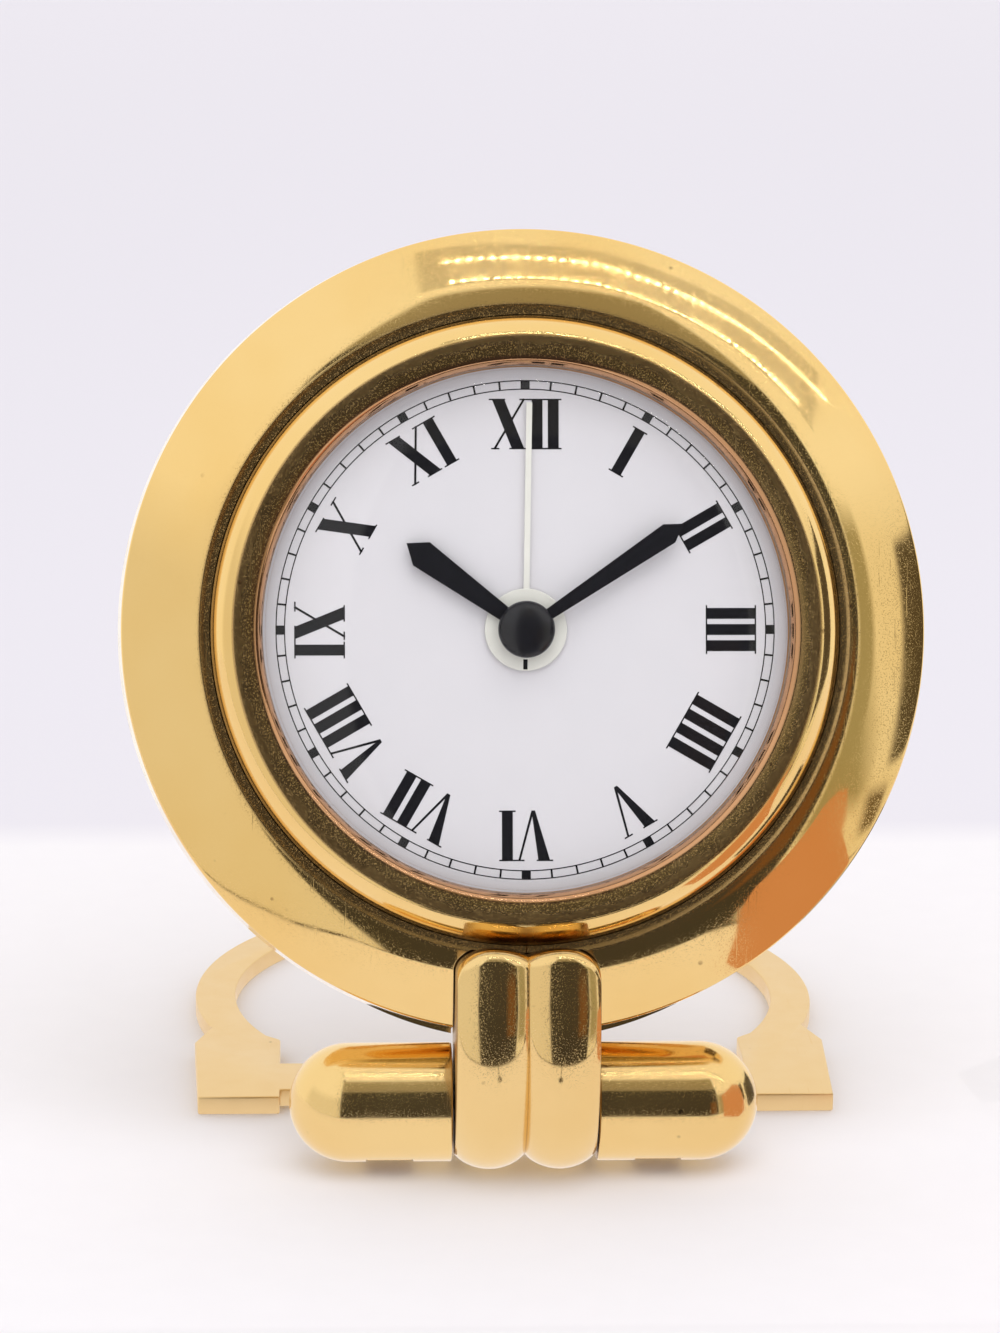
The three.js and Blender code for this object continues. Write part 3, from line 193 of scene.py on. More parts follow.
def finish_mesh(name, mesh, body, stands_for=(), sharp=32.0):
    """Merge, smooth and place a mesh as a piece of the object."""
    work = bmesh.new()
    work.from_mesh(mesh)
    bmesh.ops.remove_doubles(work, verts=work.verts, dist=1e-7)
    bmesh.ops.recalc_face_normals(work, faces=work.faces)
    work.to_mesh(mesh)
    work.free()
    mesh.name = name
    mesh.shade_smooth()
    mesh.set_sharp_from_angle(angle=math.radians(sharp))
    obj = bpy.data.objects.new(name, mesh)
    bpy.context.scene.collection.objects.link(obj)
    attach(obj, body)
    if stands_for:
        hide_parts(*stands_for)
    return obj


def revolve(profile, steps, close=True, axis="Z"):
    """Points and faces of a lathe round Z (or X), from (radius, height) pairs in a closed loop."""
    verts, rows = [], []
    for step in range(steps):
        angle = 2 * math.pi * step / steps
        row = []
        for radius, height in profile:
            if axis == "Z":
                verts.append((radius * math.cos(angle), radius * math.sin(angle), height))
            else:
                verts.append((height, radius * math.cos(angle), radius * math.sin(angle)))
            row.append(len(verts) - 1)
        rows.append(row)
    faces = []
    count = len(profile)
    last = count if close else count - 1
    for step in range(steps):
        a, b = rows[step], rows[(step + 1) % steps]
        for i in range(last):
            j = (i + 1) % count
            faces.append((a[i], b[i], b[j], a[j]))
    return verts, faces


def arc(centre, width, height, start, end, steps):
    """Points of an elliptic arc in degrees, ends included."""
    points = []
    for i in range(steps + 1):
        angle = math.radians(start + (end - start) * i / steps)
        points.append((centre[0] + width * math.cos(angle), centre[1] + height * math.sin(angle)))
    return points


def slab(outline, low, high):
    """Points and faces of a flat outline given thickness."""
    count = len(outline)
    verts = [(x, y, low) for x, y in outline] + [(x, y, high) for x, y in outline]
    faces = [tuple(range(count))[::-1], tuple(range(count, 2 * count))]
    for i in range(count):
        j = (i + 1) % count
        faces.append((i, j, count + j, count + i))
    return verts, faces


def merge(*parts):
    """Several sets of points and faces as one."""
    verts, faces = [], []
    for part_verts, part_faces in parts:
        shift = len(verts)
        verts.extend(part_verts)
        faces.extend(tuple(i + shift for i in face) for face in part_faces)
    return verts, faces


def apply_all(obj):
    """Turn the object's modifiers into its mesh."""
    bpy.context.view_layer.update()
    graph = bpy.context.evaluated_depsgraph_get()
    mesh = bpy.data.meshes.new_from_object(obj.evaluated_get(graph))
    obj.modifiers.clear()
    old = obj.data
    obj.data = mesh
    bpy.data.meshes.remove(old)
    return obj


def scratch(verts, faces, edges=()):
    """A loose object in millimetres, used as a cutter or as the start of a piece."""
    mesh = bpy.data.meshes.new("scratch")
    mesh.from_pydata(verts, edges, faces)
    work = bmesh.new()
    work.from_mesh(mesh)
    bmesh.ops.remove_doubles(work, verts=work.verts, dist=1e-4)
    bmesh.ops.recalc_face_normals(work, faces=work.faces)
    work.to_mesh(mesh)
    work.free()
    obj = bpy.data.objects.new("scratch", mesh)
    bpy.context.scene.collection.objects.link(obj)
    return obj


def cut(parts, cutters):
    """A loose object of `parts` with every cutter taken away."""
    base = scratch(*parts)
    others = [scratch(*cutter) for cutter in cutters]
    for other in others:
        modifier = base.modifiers.new("cut", "BOOLEAN")
        modifier.operation = "DIFFERENCE"
        modifier.solver = "EXACT"
        modifier.object = other
    apply_all(base)
    for other in others:
        bpy.data.objects.remove(other)
    return base


def take_mesh(obj, place):
    """The mesh of a loose object, moved from the frame `place` to its place in metres."""
    mesh = obj.data
    bpy.data.objects.remove(obj)
    mesh.transform(Matrix.Scale(MM, 4) @ place)
    return mesh


def loop_of(profile, close=True):
    """A profile of (radius, height) pairs as points and edges."""
    count = len(profile)
    edges = [(i, (i + 1) % count) for i in range(count if close else count - 1)]
    return [(radius, height, 0.0) for radius, height in profile], [], edges


def drum(radius, low, high, x=0.0, y=0.0, steps=48):
    """Points and faces of an upright cylinder."""
    outline = [
        (x + radius * math.cos(2 * math.pi * i / steps), y + radius * math.sin(2 * math.pi * i / steps))
        for i in range(steps)
    ]
    return slab(outline, low, high)


def block(x0, x1, y0, y1, z0, z1):
    """Points and faces of a box."""
    return slab([(x0, y0), (x1, y0), (x1, y1), (x0, y1)], z0, z1)


def rod_x(radius, x0, x1, steps=48):
    """Points and faces of a cylinder lying along X."""
    return revolve([(0.0, x0), (radius, x0), (radius, x1), (0.0, x1)], steps, close=False, axis="X")


# Front outline shared by the bracket and its notch: half width of the top at each level
def top_of_knot(x, grow=0.0):
    """How far up the bracket reaches at x across."""
    lobe = KNOT_HALF / 2
    past = abs(x) - lobe
    if past < 0:
        return KNOT_TOP + grow - KNOT_CUSP * (past / lobe) ** 2
    return KNOT_TOP + grow - KNOT_CORNER * (1 - math.sqrt(max(0.0, 1 - (past / (lobe + grow)) ** 2)))


def notch_angle(radius):
    """Angle from six o'clock at which a circle of this radius leaves the bracket's notch."""
    half = KNOT_HALF + NOTCH_GAP
    wide = math.asin(min(1.0, half / radius))
    low, high = 0.0, wide
    top = top_of_knot(0.0, NOTCH_GAP)
    if HINGE_DROP - radius > top:
        return 0.0
    for _ in range(40):
        middle = (low + high) / 2
        x, s = radius * math.sin(middle), HINGE_DROP - radius * math.cos(middle)
        inside = abs(x) < half and s < top_of_knot(min(abs(x), half - 1e-6), NOTCH_GAP)
        if inside:
            low = middle
        else:
            high = middle
    return high


# Case ring: open at six o'clock for the bracket
def ring_face():
    """Radius and height along the ring's face, from its inner edge out to the tight rim."""
    points = [(CHANNEL, RING_CREST)]
    for (r0, slope0), (r1, slope1) in zip(FACE_SLOPE, FACE_SLOPE[1:]):
        for i in range(1, 7):
            slope = math.radians(slope0 + (slope1 - slope0) * (i - 0.5) / 6)
            radius, height = points[-1]
            points.append((radius + (r1 - r0) / 6, height - (r1 - r0) / 6 * math.tan(slope)))
    slope = math.radians(90 - FACE_SLOPE[-1][1])
    middle = (points[-1][0] - RIM * math.cos(slope), points[-1][1] - RIM * math.sin(slope))
    return points + arc(middle, RIM, RIM, math.degrees(slope), 4, 8)[1:]


def build_case_ring():
    """The wide ring, lofted round from one wall of the notch to the other."""
    width = CHANNEL - GROOVE_MOUTH
    drop = RING_CREST - GROOVE
    groove = [
        (CHANNEL - width * t, RING_CREST - drop * (1 - (1 - t) ** 3)) for t in (0.1, 0.2, 0.35, 0.5, 0.75, 1)
    ]
    profile = (
        [(RING_BORE, -2.0), (CASE_R - 1.9, -2.0), (CASE_R - 1.9, BACK_PLANE)]
        + arc((CASE_R - 1.0, EQUATOR), 1.0, 1.2, -90, 0, 8)
        + ring_face()[::-1]
        + groove
        + [(GROOVE_MOUTH, SHELF), (RING_BORE, SHELF)]
    )
    shares = [0, 0.0004, *(i / 320 for i in range(1, 320)), 0.9996, 1]
    steps = len(shares) - 1
    verts, rows = [], []
    for share in shares:
        row = []
        for radius, height in profile:
            open_angle = notch_angle(max(radius, MOUTH))
            angle = open_angle + (2 * math.pi - 2 * open_angle) * share
            verts.append((radius * math.sin(angle), -radius * math.cos(angle), height))
            row.append(len(verts) - 1)
        rows.append(row)
    faces = []
    count = len(profile)
    for step in range(steps):
        a, b = rows[step], rows[step + 1]
        for i in range(count):
            j = (i + 1) % count
            faces.append((a[i], b[i], b[j], a[j]))
    faces.append(tuple(rows[0]))
    faces.append(tuple(rows[-1])[::-1])
    return verts, faces


def build_chin():
    """Thin lower lip of the case behind the ring."""
    radius, drop, inner, side_start = 28.0, 4.95, CASE_R - 1.6, KNOT_HALF + NOTCH_GAP
    outer = []
    steps = 120
    for i in range(steps + 1):
        angle = math.radians(-90 - 34 + 68 * i / steps)
        outer.append((radius * math.cos(angle), -drop + radius * math.sin(angle)))
    parts = []
    for side in (-1, 1):
        rim = [(side * side_start, -drop - math.sqrt(radius ** 2 - side_start ** 2))]
        rim += sorted((p for p in outer if p[0] * side > side_start), key=lambda p: abs(p[0]))
        inside = [(x, -math.sqrt(inner ** 2 - x ** 2)) for x, _ in rim]
        parts.append(slab(rim + inside[::-1], BACK_PLANE + 0.02, EQUATOR))
    return merge(*parts)


def bezel_profile():
    """Profile of the bezel: round bead, nearly flat flank and thin lip."""
    reach = BEZEL - COVE + BEAD_LEAN
    lean = math.acos(BEAD_LEAN / reach)
    rise = (BEZEL_CREST - BEAD_FOOT) / math.sin(lean)
    return [
        (BEZEL_BORE, CRYSTAL_BACK),
        (RING_BORE, CRYSTAL_BACK),
        (RING_BORE, SHELF + 0.15),
        (BEZEL, SHELF + 0.15),
        *arc((COVE - BEAD_LEAN, BEAD_FOOT), reach, rise, 0, math.degrees(lean) - 2, 36),
        *((COVE - 0.07 - i * 0.178, BEZEL_CREST - 0.0022 * i * i) for i in range(9)),
        *arc((LIP, LIP_TOP), LIP - OPENING, FLANK - LIP_TOP, 84, 180, 18),
        (OPENING, LIP_BACK),
        (BEZEL_BORE, LIP_BACK),
    ]


def crystal_profile():
    """Profile of the domed crystal, hollow behind."""
    wall = 0.9
    outer = OPENING - 0.2
    rise = DOME + CRYSTAL_RIM - CRYSTAL_BACK - wall
    return [
        (0.0, CRYSTAL_BACK + rise),
        *arc((0, CRYSTAL_BACK), outer - wall, rise, 90, 0, 24)[1:],
        (CRYSTAL_R, CRYSTAL_BACK),
        (CRYSTAL_R, CRYSTAL_RIM),
        *arc((0, CRYSTAL_RIM), outer, DOME, 0, 90, 32)[:-1],
        (0.0, CRYSTAL_RIM + DOME),
    ]


# Knot bracket: two lobes lofted across
def knot_profile(x, inset):
    """Outline of the bracket at x across, from its top down the front and round the barrel."""
    top = top_of_knot(x)
    front = KNOT_FRONT - inset
    points = [(top, KNOT_REAR), (top, front - KNOT_ROUND)]
    points += arc((top - KNOT_ROUND, front - KNOT_ROUND), KNOT_ROUND, KNOT_ROUND, 0, 90, 10)[1:]
    down = math.pi + LEAN
    bottom = Vector((math.cos(down), math.sin(down))) * BARREL
    ahead = Vector((-math.sin(LEAN), math.cos(LEAN)))
    p0 = Vector((KNOT_FLAT, KNOT_FRONT))
    p1 = Vector((KNOT_FLAT - 7.0, KNOT_FRONT))
    p2 = bottom + ahead * 6.6
    p3 = bottom
    steps = 44
    for i in range(steps + 1):
        t = i / steps
        a, b, c, d = (1 - t) ** 3, 3 * t * (1 - t) ** 2, 3 * t * t * (1 - t), t ** 3
        p = p0 * a + p1 * b + p2 * c + p3 * d
        g = (p1 - p0) * (1 - t) ** 2 + (p2 - p1) * (2 * t * (1 - t)) + (p3 - p2) * t * t
        g.normalize()
        depth = inset * (1 + LOBE_DEEPENS * t)
        points.append((p.x - g.y * depth, p.y + g.x * depth))
    inset *= 1 + LOBE_DEEPENS
    rear = 2 * math.pi + math.asin(KNOT_REAR / BARREL)
    arc_steps = 30
    for i in range(1, arc_steps + 1):
        angle = down + (rear - down) * i / arc_steps
        points.append(((BARREL - inset) * math.cos(angle), (BARREL - inset) * math.sin(angle)))
    return points


def build_knot():
    """The two lobes, lofted across from one side of the bracket to the other."""
    lobe = KNOT_HALF / 2
    stations = []
    steps = 26
    for middle in (-lobe, lobe):
        for i in range(steps + 1):
            angle = math.pi * (1 - i / steps)
            x = middle + lobe * math.cos(angle)
            inset = LOBE_ROUND * math.cos(angle) ** 2 + LOBE_EDGE * math.cos(angle) ** 8
            if stations and abs(stations[-1][0] - x) < 1e-6:
                continue
            stations.append((x, inset))
    verts, rows = [], []
    for x, inset in stations:
        row = []
        for s, z in knot_profile(x, inset):
            verts.append((x, s, z))
            row.append(len(verts) - 1)
        rows.append(row)
    faces = []
    count = len(rows[0])
    for a, b in zip(rows, rows[1:]):
        for i in range(count):
            j = (i + 1) % count
            faces.append((a[i], a[j], b[j], b[i]))
    faces.append(tuple(rows[0]))
    faces.append(tuple(rows[-1])[::-1])
    return verts, faces


# Hinge bar
def build_capsule(side):
    """Round-ended half of the bar, slotted for its arm and bored for the axle and the washer."""
    length = CAPSULE_REACH - CAPSULE_INNER
    start = length - CAPSULE
    flat = CAPSULE - CAPSULE_EDGE
    profile = [(0.0, 0.0), (flat, 0.0)]
    profile += arc((flat, CAPSULE_EDGE), CAPSULE_EDGE, CAPSULE_EDGE, -90, 0, 6)[1:]
    profile += [(CAPSULE, start * i / 6) for i in range(1, 6)]
    profile += arc((0, start), CAPSULE, CAPSULE, 0, 90, 28)[:-1]
    profile += [(0.0, length)]
    profile = [(r, side * (x + CAPSULE_INNER)) for r, x in profile]
    body = revolve(profile, 128, close=False, axis="X")
    edge = EYE + ARM_GAP
    x0, x1 = sorted((side * (ARM_INNER - ARM_GAP), side * (ARM_OUTER + ARM_GAP)))
    bore = sorted((side * (CAPSULE_INNER - 2), side * AXLE_REACH))
    seat = sorted((side * (CAPSULE_INNER - 2), side * WASHER_SEAT))
    cutters = [
        block(x0, x1, -edge, CAPSULE + 2, -BARREL - 2, edge),
        rod_x(BORE, *bore),
        rod_x(WASHER_R, *seat),
    ]
    return take_mesh(cut(body, cutters), STAND)


# Folding stand
def stand_outline():
    """Outer edge of the plate with its square feet and arch, and the edge of its opening."""
    shoulder, mouth = 19.5, 28.2
    neck, tab_top, tab, foot, ankle = 19.6, 13.2, 11.4, 26.35, (26.9, 24.8)
    outer = arc((0, HINGE_DROP), ARCH_OUTER, ARCH_OUTER, -shoulder, 180 + shoulder, 150)
    inner = arc((0, HINGE_DROP), ARCH_INNER, ARCH_INNER, -mouth, 180 + mouth, 150)
    edge = [(neck, tab_top), (neck, tab), (foot, tab), ankle]
    hole = [(neck, 19.5), (neck, 25.4)]
    return (
        [*edge, *outer, *((-x, y) for x, y in edge[::-1])],
        [*hole, *inner, *((-x, y) for x, y in hole[::-1])],
    )


def build_stand():
    """The flat plate with softly bevelled edges."""
    curve = bpy.data.curves.new("stand_plate", "CURVE")
    curve.dimensions = "2D"
    curve.fill_mode = "BOTH"
    curve.extrude = (PLATE_TOP - PLATE_BOTTOM) / 2 * MM
    for points in stand_outline():
        spline = curve.splines.new("POLY")
        spline.points.add(len(points) - 1)
        for i, (x, y) in enumerate(points):
            spline.points[i].co = (x * MM, y * MM, 0, 1)
        spline.use_cyclic_u = True
    flat = bpy.data.objects.new("stand_plate", curve)
    bpy.context.scene.collection.objects.link(flat)
    bpy.context.view_layer.update()
    graph = bpy.context.evaluated_depsgraph_get()
    mesh = bpy.data.meshes.new_from_object(flat.evaluated_get(graph))
    bpy.data.objects.remove(flat)
    mesh.transform(Matrix.Translation((0, 0, (PLATE_TOP + PLATE_BOTTOM) / 2 * MM)))
    mesh.transform(Matrix.Translation(HINGE * MM))
    work = bmesh.new()
    work.from_mesh(mesh)
    bmesh.ops.remove_doubles(work, verts=work.verts, dist=1e-7)
    bmesh.ops.recalc_face_normals(work, faces=work.faces)
    bmesh.ops.dissolve_limit(work, angle_limit=math.radians(1), verts=work.verts, edges=work.edges)
    sharp = [e for e in work.edges if len(e.link_faces) == 2 and e.calc_face_angle(0) > math.radians(40)]
    bmesh.ops.bevel(
        work, geom=sharp, offset=0.16 * MM, segments=3, profile=0.5, affect="EDGES", clamp_overlap=True
    )
    work.to_mesh(mesh)
    work.free()
    return mesh


def build_arms():
    """Two arms from the plate's cross tab, each ending in an eye round the axle."""
    parts = []
    for side in (-1, 1):
        x0, x1 = sorted((side * ARM_INNER, side * ARM_OUTER))
        web = arc((0, 0), EYE, EYE, 32, 208, 40)
        web += [(0.8, PLATE_BOTTOM), (16.0, PLATE_BOTTOM), (16.0, PLATE_TOP), (4.2, PLATE_TOP)]
        full = arc((0, 0), EYE, EYE, 0, 360, 64)[:-1]
        for loop in (web, full):
            count = len(loop)
            verts = [(x0, y, z) for y, z in loop] + [(x1, y, z) for y, z in loop]
            faces = [tuple(range(count)), tuple(range(count, 2 * count))[::-1]]
            faces += [(i, count + i, count + (i + 1) % count, (i + 1) % count) for i in range(count)]
            parts.append((verts, faces))
    return merge(*parts)


# Case back with its controls' openings
def build_case_back():
    """Cover with a raised boss, opened for the knobs, the hatch and the switch, then pierced."""
    round_off = 0.4
    profile = [
        (0.0, COVER),
        (BOSS - round_off, COVER),
        *arc((BOSS - round_off, COVER + round_off), round_off, round_off, -90, 0, 6)[1:],
        (BOSS, BACK_PLANE),
        (FLANGE, BACK_PLANE),
        (FLANGE, -2.5),
        (BOSS - 0.8, -2.5),
        (BOSS - 0.8, COVER_INSIDE),
        (0.0, COVER_INSIDE),
    ]
    switch_x, switch_y = SWITCH
    cutters = [
        drum(KNOB_HOLE, CUT_FROM, CUT_TO, *TIME_KNOB, 64),
        drum(KNOB_HOLE, CUT_FROM, CUT_TO, *ALARM_KNOB, 64),
        drum(HATCH_HOLE, CUT_FROM, CUT_TO, *HATCH, 96),
        block(
            switch_x - SWITCH_HALF, switch_x + SWITCH_HALF,
            switch_y - SWITCH_BELOW, switch_y + SWITCH_ABOVE,
            CUT_FROM, CUT_TO,
        ),
    ]
    cover = cut(revolve(profile, 192, close=False), cutters)
    sizes = {
        "Sound Holes": SOUND_HOLES,
        "Sound Hole": SOUND_HOLE,
        "Pitch": SOUND_PITCH,
        "Buzzer X": BUZZER_REACH * math.cos(BUZZER_AT),
        "Buzzer Y": BUZZER_REACH * math.sin(BUZZER_AT),
        "Screws": SCREWS,
        "Screw Hole": SCREW_HOLE,
        "Screw Circle": SCREW_CIRCLE,
        "Screw Floor": SCREW_FLOOR,
        "Cut From": CUT_FROM,
        "Cut To": CUT_TO,
    }
    return take_mesh(grow(cover, PIERCED_COVER, "back_gold", sizes), FACE)


def knurl_profile():
    """Section of the ring of teeth round a setting knob."""
    shares = ((0.985, -4.98), (1.0, -4.92), (1.0, -4.3), (0.9, -4.3), (0.9, -4.93), (0.92, -4.98))
    return [(KNURL * share, level) for share, level in shares]


# Hands
def blade(back, length, tip, shoulder_width, neck, turn):
    """A kite-shaped blade with broken edges, its tip falling away."""
    thick = HAND_THICK
    shoulder = length - tip
    edge = 0.05
    outline = [
        (-neck / 2, 0.0),
        (neck / 2, 0.0),
        (shoulder_width / 2, shoulder),
        (0.0, length),
        (-shoulder_width / 2, shoulder),
    ]
    inner = [
        (-neck / 2 + edge, 0.0),
        (neck / 2 - edge, 0.0),
        (shoulder_width / 2 - edge, shoulder),
        (0.0, length - 2 * edge),
        (-shoulder_width / 2 + edge, shoulder),
    ]
    spin = Matrix.Rotation(-math.radians(turn), 3, "Z")
    layers = [(outline, back), (outline, back + thick - edge), (inner, back + thick)]
    fall = 0.5 * thick
    verts = [
        tuple(spin @ Vector((x, y, z - (fall if y > shoulder and z > back else 0))))
        for points, z in layers for x, y in points
    ]
    count = len(outline)
    top = 2 * count
    faces = [tuple(range(count))[::-1], (top, top + 1, top + 2, top + 4), (top + 2, top + 3, top + 4)]
    for low in (0, count):
        for i in range(count):
            j = (i + 1) % count
            faces.append((low + i, low + j, low + count + j, low + count + i))
    return verts, faces


def hub(inner, outer, back):
    """Flat ring in the middle of a hand, its outer top edge broken."""
    edge, front = 0.05, back + HAND_THICK
    profile = [(inner, back), (outer, back), (outer, front - edge), (outer - edge, front), (inner, front)]
    return revolve(profile, 64)


# Dial print
def rule(x0, y0, x1, y1, width):
    """A straight stroke between two points."""
    d = Vector((x1 - x0, y1 - y0)).normalized()
    n = Vector((-d.y, d.x)) * width / 2
    return [(x0 + n.x, y0 + n.y), (x0 - n.x, y0 - n.y), (x1 - n.x, y1 - n.y), (x1 + n.x, y1 + n.y)]


BOLD = 0.86
HAIR = 0.17
SERIF = 0.11
OVERHANG = 0.22
GAP = 0.42


def letter(kind, left, height):
    """Outlines of one Roman letter and the x where it ends."""
    half = height / 2
    shapes = []
    if kind == "I":
        shapes.append([(left, -half), (left + BOLD, -half), (left + BOLD, half), (left, half)])
        width = BOLD
        tops = bottoms = [(left - OVERHANG, left + BOLD + OVERHANG)]
    elif kind == "V":
        width = 2.55
        apex = left + width * 0.53
        shapes.append([(left, half), (left + BOLD + 0.08, half), (apex + 0.14, -half), (apex - 0.14, -half)])
        end = left + width
        shapes.append([(end - HAIR, half), (end, half), (apex + 0.14, -half), (apex, -half + 0.2)])
        tops = [(left - OVERHANG, left + BOLD + OVERHANG), (left + width - 0.5, left + width + OVERHANG)]
        bottoms = []
    else:
        width = 2.75
        slope = 1.62
        shapes.append([
            (left, half),
            (left + BOLD + 0.12, half),
            (left + BOLD + 0.12 + slope, -half),
            (left + slope, -half),
        ])
        shapes.append(rule(left + width - 0.18, half, left + 0.2, -half, HAIR))
        tops = [(left - OVERHANG, left + BOLD + OVERHANG), (left + width - 0.55, left + width + OVERHANG)]
        bottoms = [(left - 0.05, left + 0.6), (left + slope - OVERHANG, left + slope + BOLD + OVERHANG)]
    for x0, x1 in tops:
        shapes.append([(x0, half - SERIF), (x1, half - SERIF), (x1, half), (x0, half)])
    for x0, x1 in bottoms:
        shapes.append([(x0, -half), (x1, -half), (x1, -half + SERIF), (x0, -half + SERIF)])
    return shapes, left + width


def numeral_shapes(text):
    """Outlines of one numeral, centred."""
    height = NUMERAL_OUTER - NUMERAL_INNER
    shapes, x = [], 0.0
    for kind in text:
        made, x = letter(kind, x, height)
        shapes += made
        x += GAP
    total = x - GAP
    return [[(px - total / 2, py) for px, py in shape] for shape in shapes]


NUMERALS = ["XII", "I", "II", "III", "IIII", "V", "VI", "VII", "VIII", "IX", "X", "XI"]


def build_numerals():
    """The twelve hours, each upright on its own radius, with strokes at slightly different heights."""
    parts = []
    middle = (NUMERAL_OUTER + NUMERAL_INNER) / 2
    for hour, text in enumerate(NUMERALS):
        angle = -math.radians(30 * hour)
        spin = Matrix.Rotation(angle, 2)
        for index, shape in enumerate(numeral_shapes(text)):
            turned = [tuple(spin @ Vector((x, y + middle))) for x, y in shape]
            foot = DIAL + PRINT_FOOT
            parts.append(slab(turned, foot, foot + PRINT_HIGH + STROKE_STEP * index))
    return merge(*parts)


# Materials
def group(name, outputs):
    """An empty shader node group that takes a vector; `outputs` maps names to socket kinds."""
    tree = bpy.data.node_groups.new(name, "ShaderNodeTree")
    tree.interface.new_socket("Vector", in_out="INPUT", socket_type="NodeSocketVector")
    for label, kind in outputs.items():
        tree.interface.new_socket(label, in_out="OUTPUT", socket_type=kind)
    source = tree.nodes.new("NodeGroupInput")
    drain = tree.nodes.new("NodeGroupOutput")
    return tree, source.outputs[0], drain


def add(tree, kind, inputs=(), **settings):
    """A node with its settings, its inputs given as values or as sockets to link."""
    node = tree.nodes.new(kind)
    for key, value in settings.items():
        setattr(node, key, value)
    for key, value in dict(inputs).items():
        socket = node.inputs[key]
        if isinstance(value, bpy.types.NodeSocket):
            tree.links.new(value, socket)
        else:
            socket.default_value = value
    return node


def noise(tree, coord, scale, detail=2.0, rough=0.5):
    """Soft noise over the surface."""
    inputs = {"Vector": coord, "Scale": scale, "Detail": detail, "Roughness": rough}
    return add(tree, "ShaderNodeTexNoise", inputs).outputs["Fac"]


def step_between(tree, value, low, high, start=0.0, end=1.0):
    """The value's place between two limits, held at both ends."""
    inputs = {"Value": value, "From Min": low, "From Max": high, "To Min": start, "To Max": end}
    return add(tree, "ShaderNodeMapRange", inputs).outputs["Result"]


def mix(tree, share, first, second):
    """One colour over another by a share."""
    node = add(tree, "ShaderNodeMix", {"Factor": share, "A": first, "B": second}, data_type="RGBA")
    return node.outputs["Result"]


def sums(tree, operation, first, second):
    """One step of arithmetic on two sockets or values."""
    return add(tree, "ShaderNodeMath", {0: first, 1: second}, operation=operation).outputs[0]


def distance(tree, x, y):
    """Distance from the axis."""
    squares = sums(tree, "ADD", sums(tree, "MULTIPLY", x, x), sums(tree, "MULTIPLY", y, y))
    return sums(tree, "POWER", squares, 0.5)


def wear_group():
    """Wear of polished plating: slow drift, haze, fine pits, small tarnish spots and hairlines."""
    kinds = dict.fromkeys(("Drift", "Haze", "Pits", "Spots", "Hairlines"), "NodeSocketFloat")
    tree, coord, drain = group("plating_wear", kinds)
    drift = step_between(tree, noise(tree, coord, 70, 3), 0.35, 0.7)
    haze = step_between(tree, noise(tree, coord, 420, 4, 0.6), 0.35, 0.75)
    pits = step_between(tree, noise(tree, coord, 9000, 2, 0.6), 0.28, 0.42)
    cells = add(tree, "ShaderNodeTexVoronoi", {"Vector": coord, "Scale": 520.0, "Randomness": 1.0})
    rare = step_between(tree, noise(tree, coord, 230, 2), 0.58, 0.66)
    dots = sums(tree, "MULTIPLY", step_between(tree, cells.outputs["Distance"], 0.13, 0.07), rare)
    lines = None
    for turn_angle in (0.5, 1.9):
        stretch = add(
            tree,
            "ShaderNodeMapping",
            {"Vector": coord, "Rotation": (0.3, turn_angle, turn_angle), "Scale": (1.0, 0.03, 0.03)},
        ).outputs[0]
        streak = noise(tree, stretch, 5200, 2, 0.5)
        hair = step_between(tree, streak, 0.69, 0.73)
        lines = hair if lines is None else sums(tree, "MAXIMUM", lines, hair)
    few = step_between(tree, noise(tree, coord, 120, 2), 0.48, 0.62)
    results = {
        "Drift": drift,
        "Haze": haze,
        "Pits": pits,
        "Spots": dots,
        "Hairlines": sums(tree, "MULTIPLY", lines, few),
    }
    for label, value in results.items():
        tree.links.new(value, drain.inputs[label])
    return tree


WEAR = wear_group()


def shader(name):
    """A material with its tree, its main shader and its object coordinates."""
    material = bpy.data.materials.new(name)
    material.use_nodes = True
    tree = material.node_tree
    bsdf = next(n for n in tree.nodes if n.type == "BSDF_PRINCIPLED")
    coord = tree.nodes.new("ShaderNodeTexCoord").outputs["Object"]
    return material, tree, bsdf, coord


def masked(tree, name):
    """A mask painted on the mesh; it is zero where a mesh has none."""
    return add(tree, "ShaderNodeAttribute", attribute_name=name).outputs["Fac"]


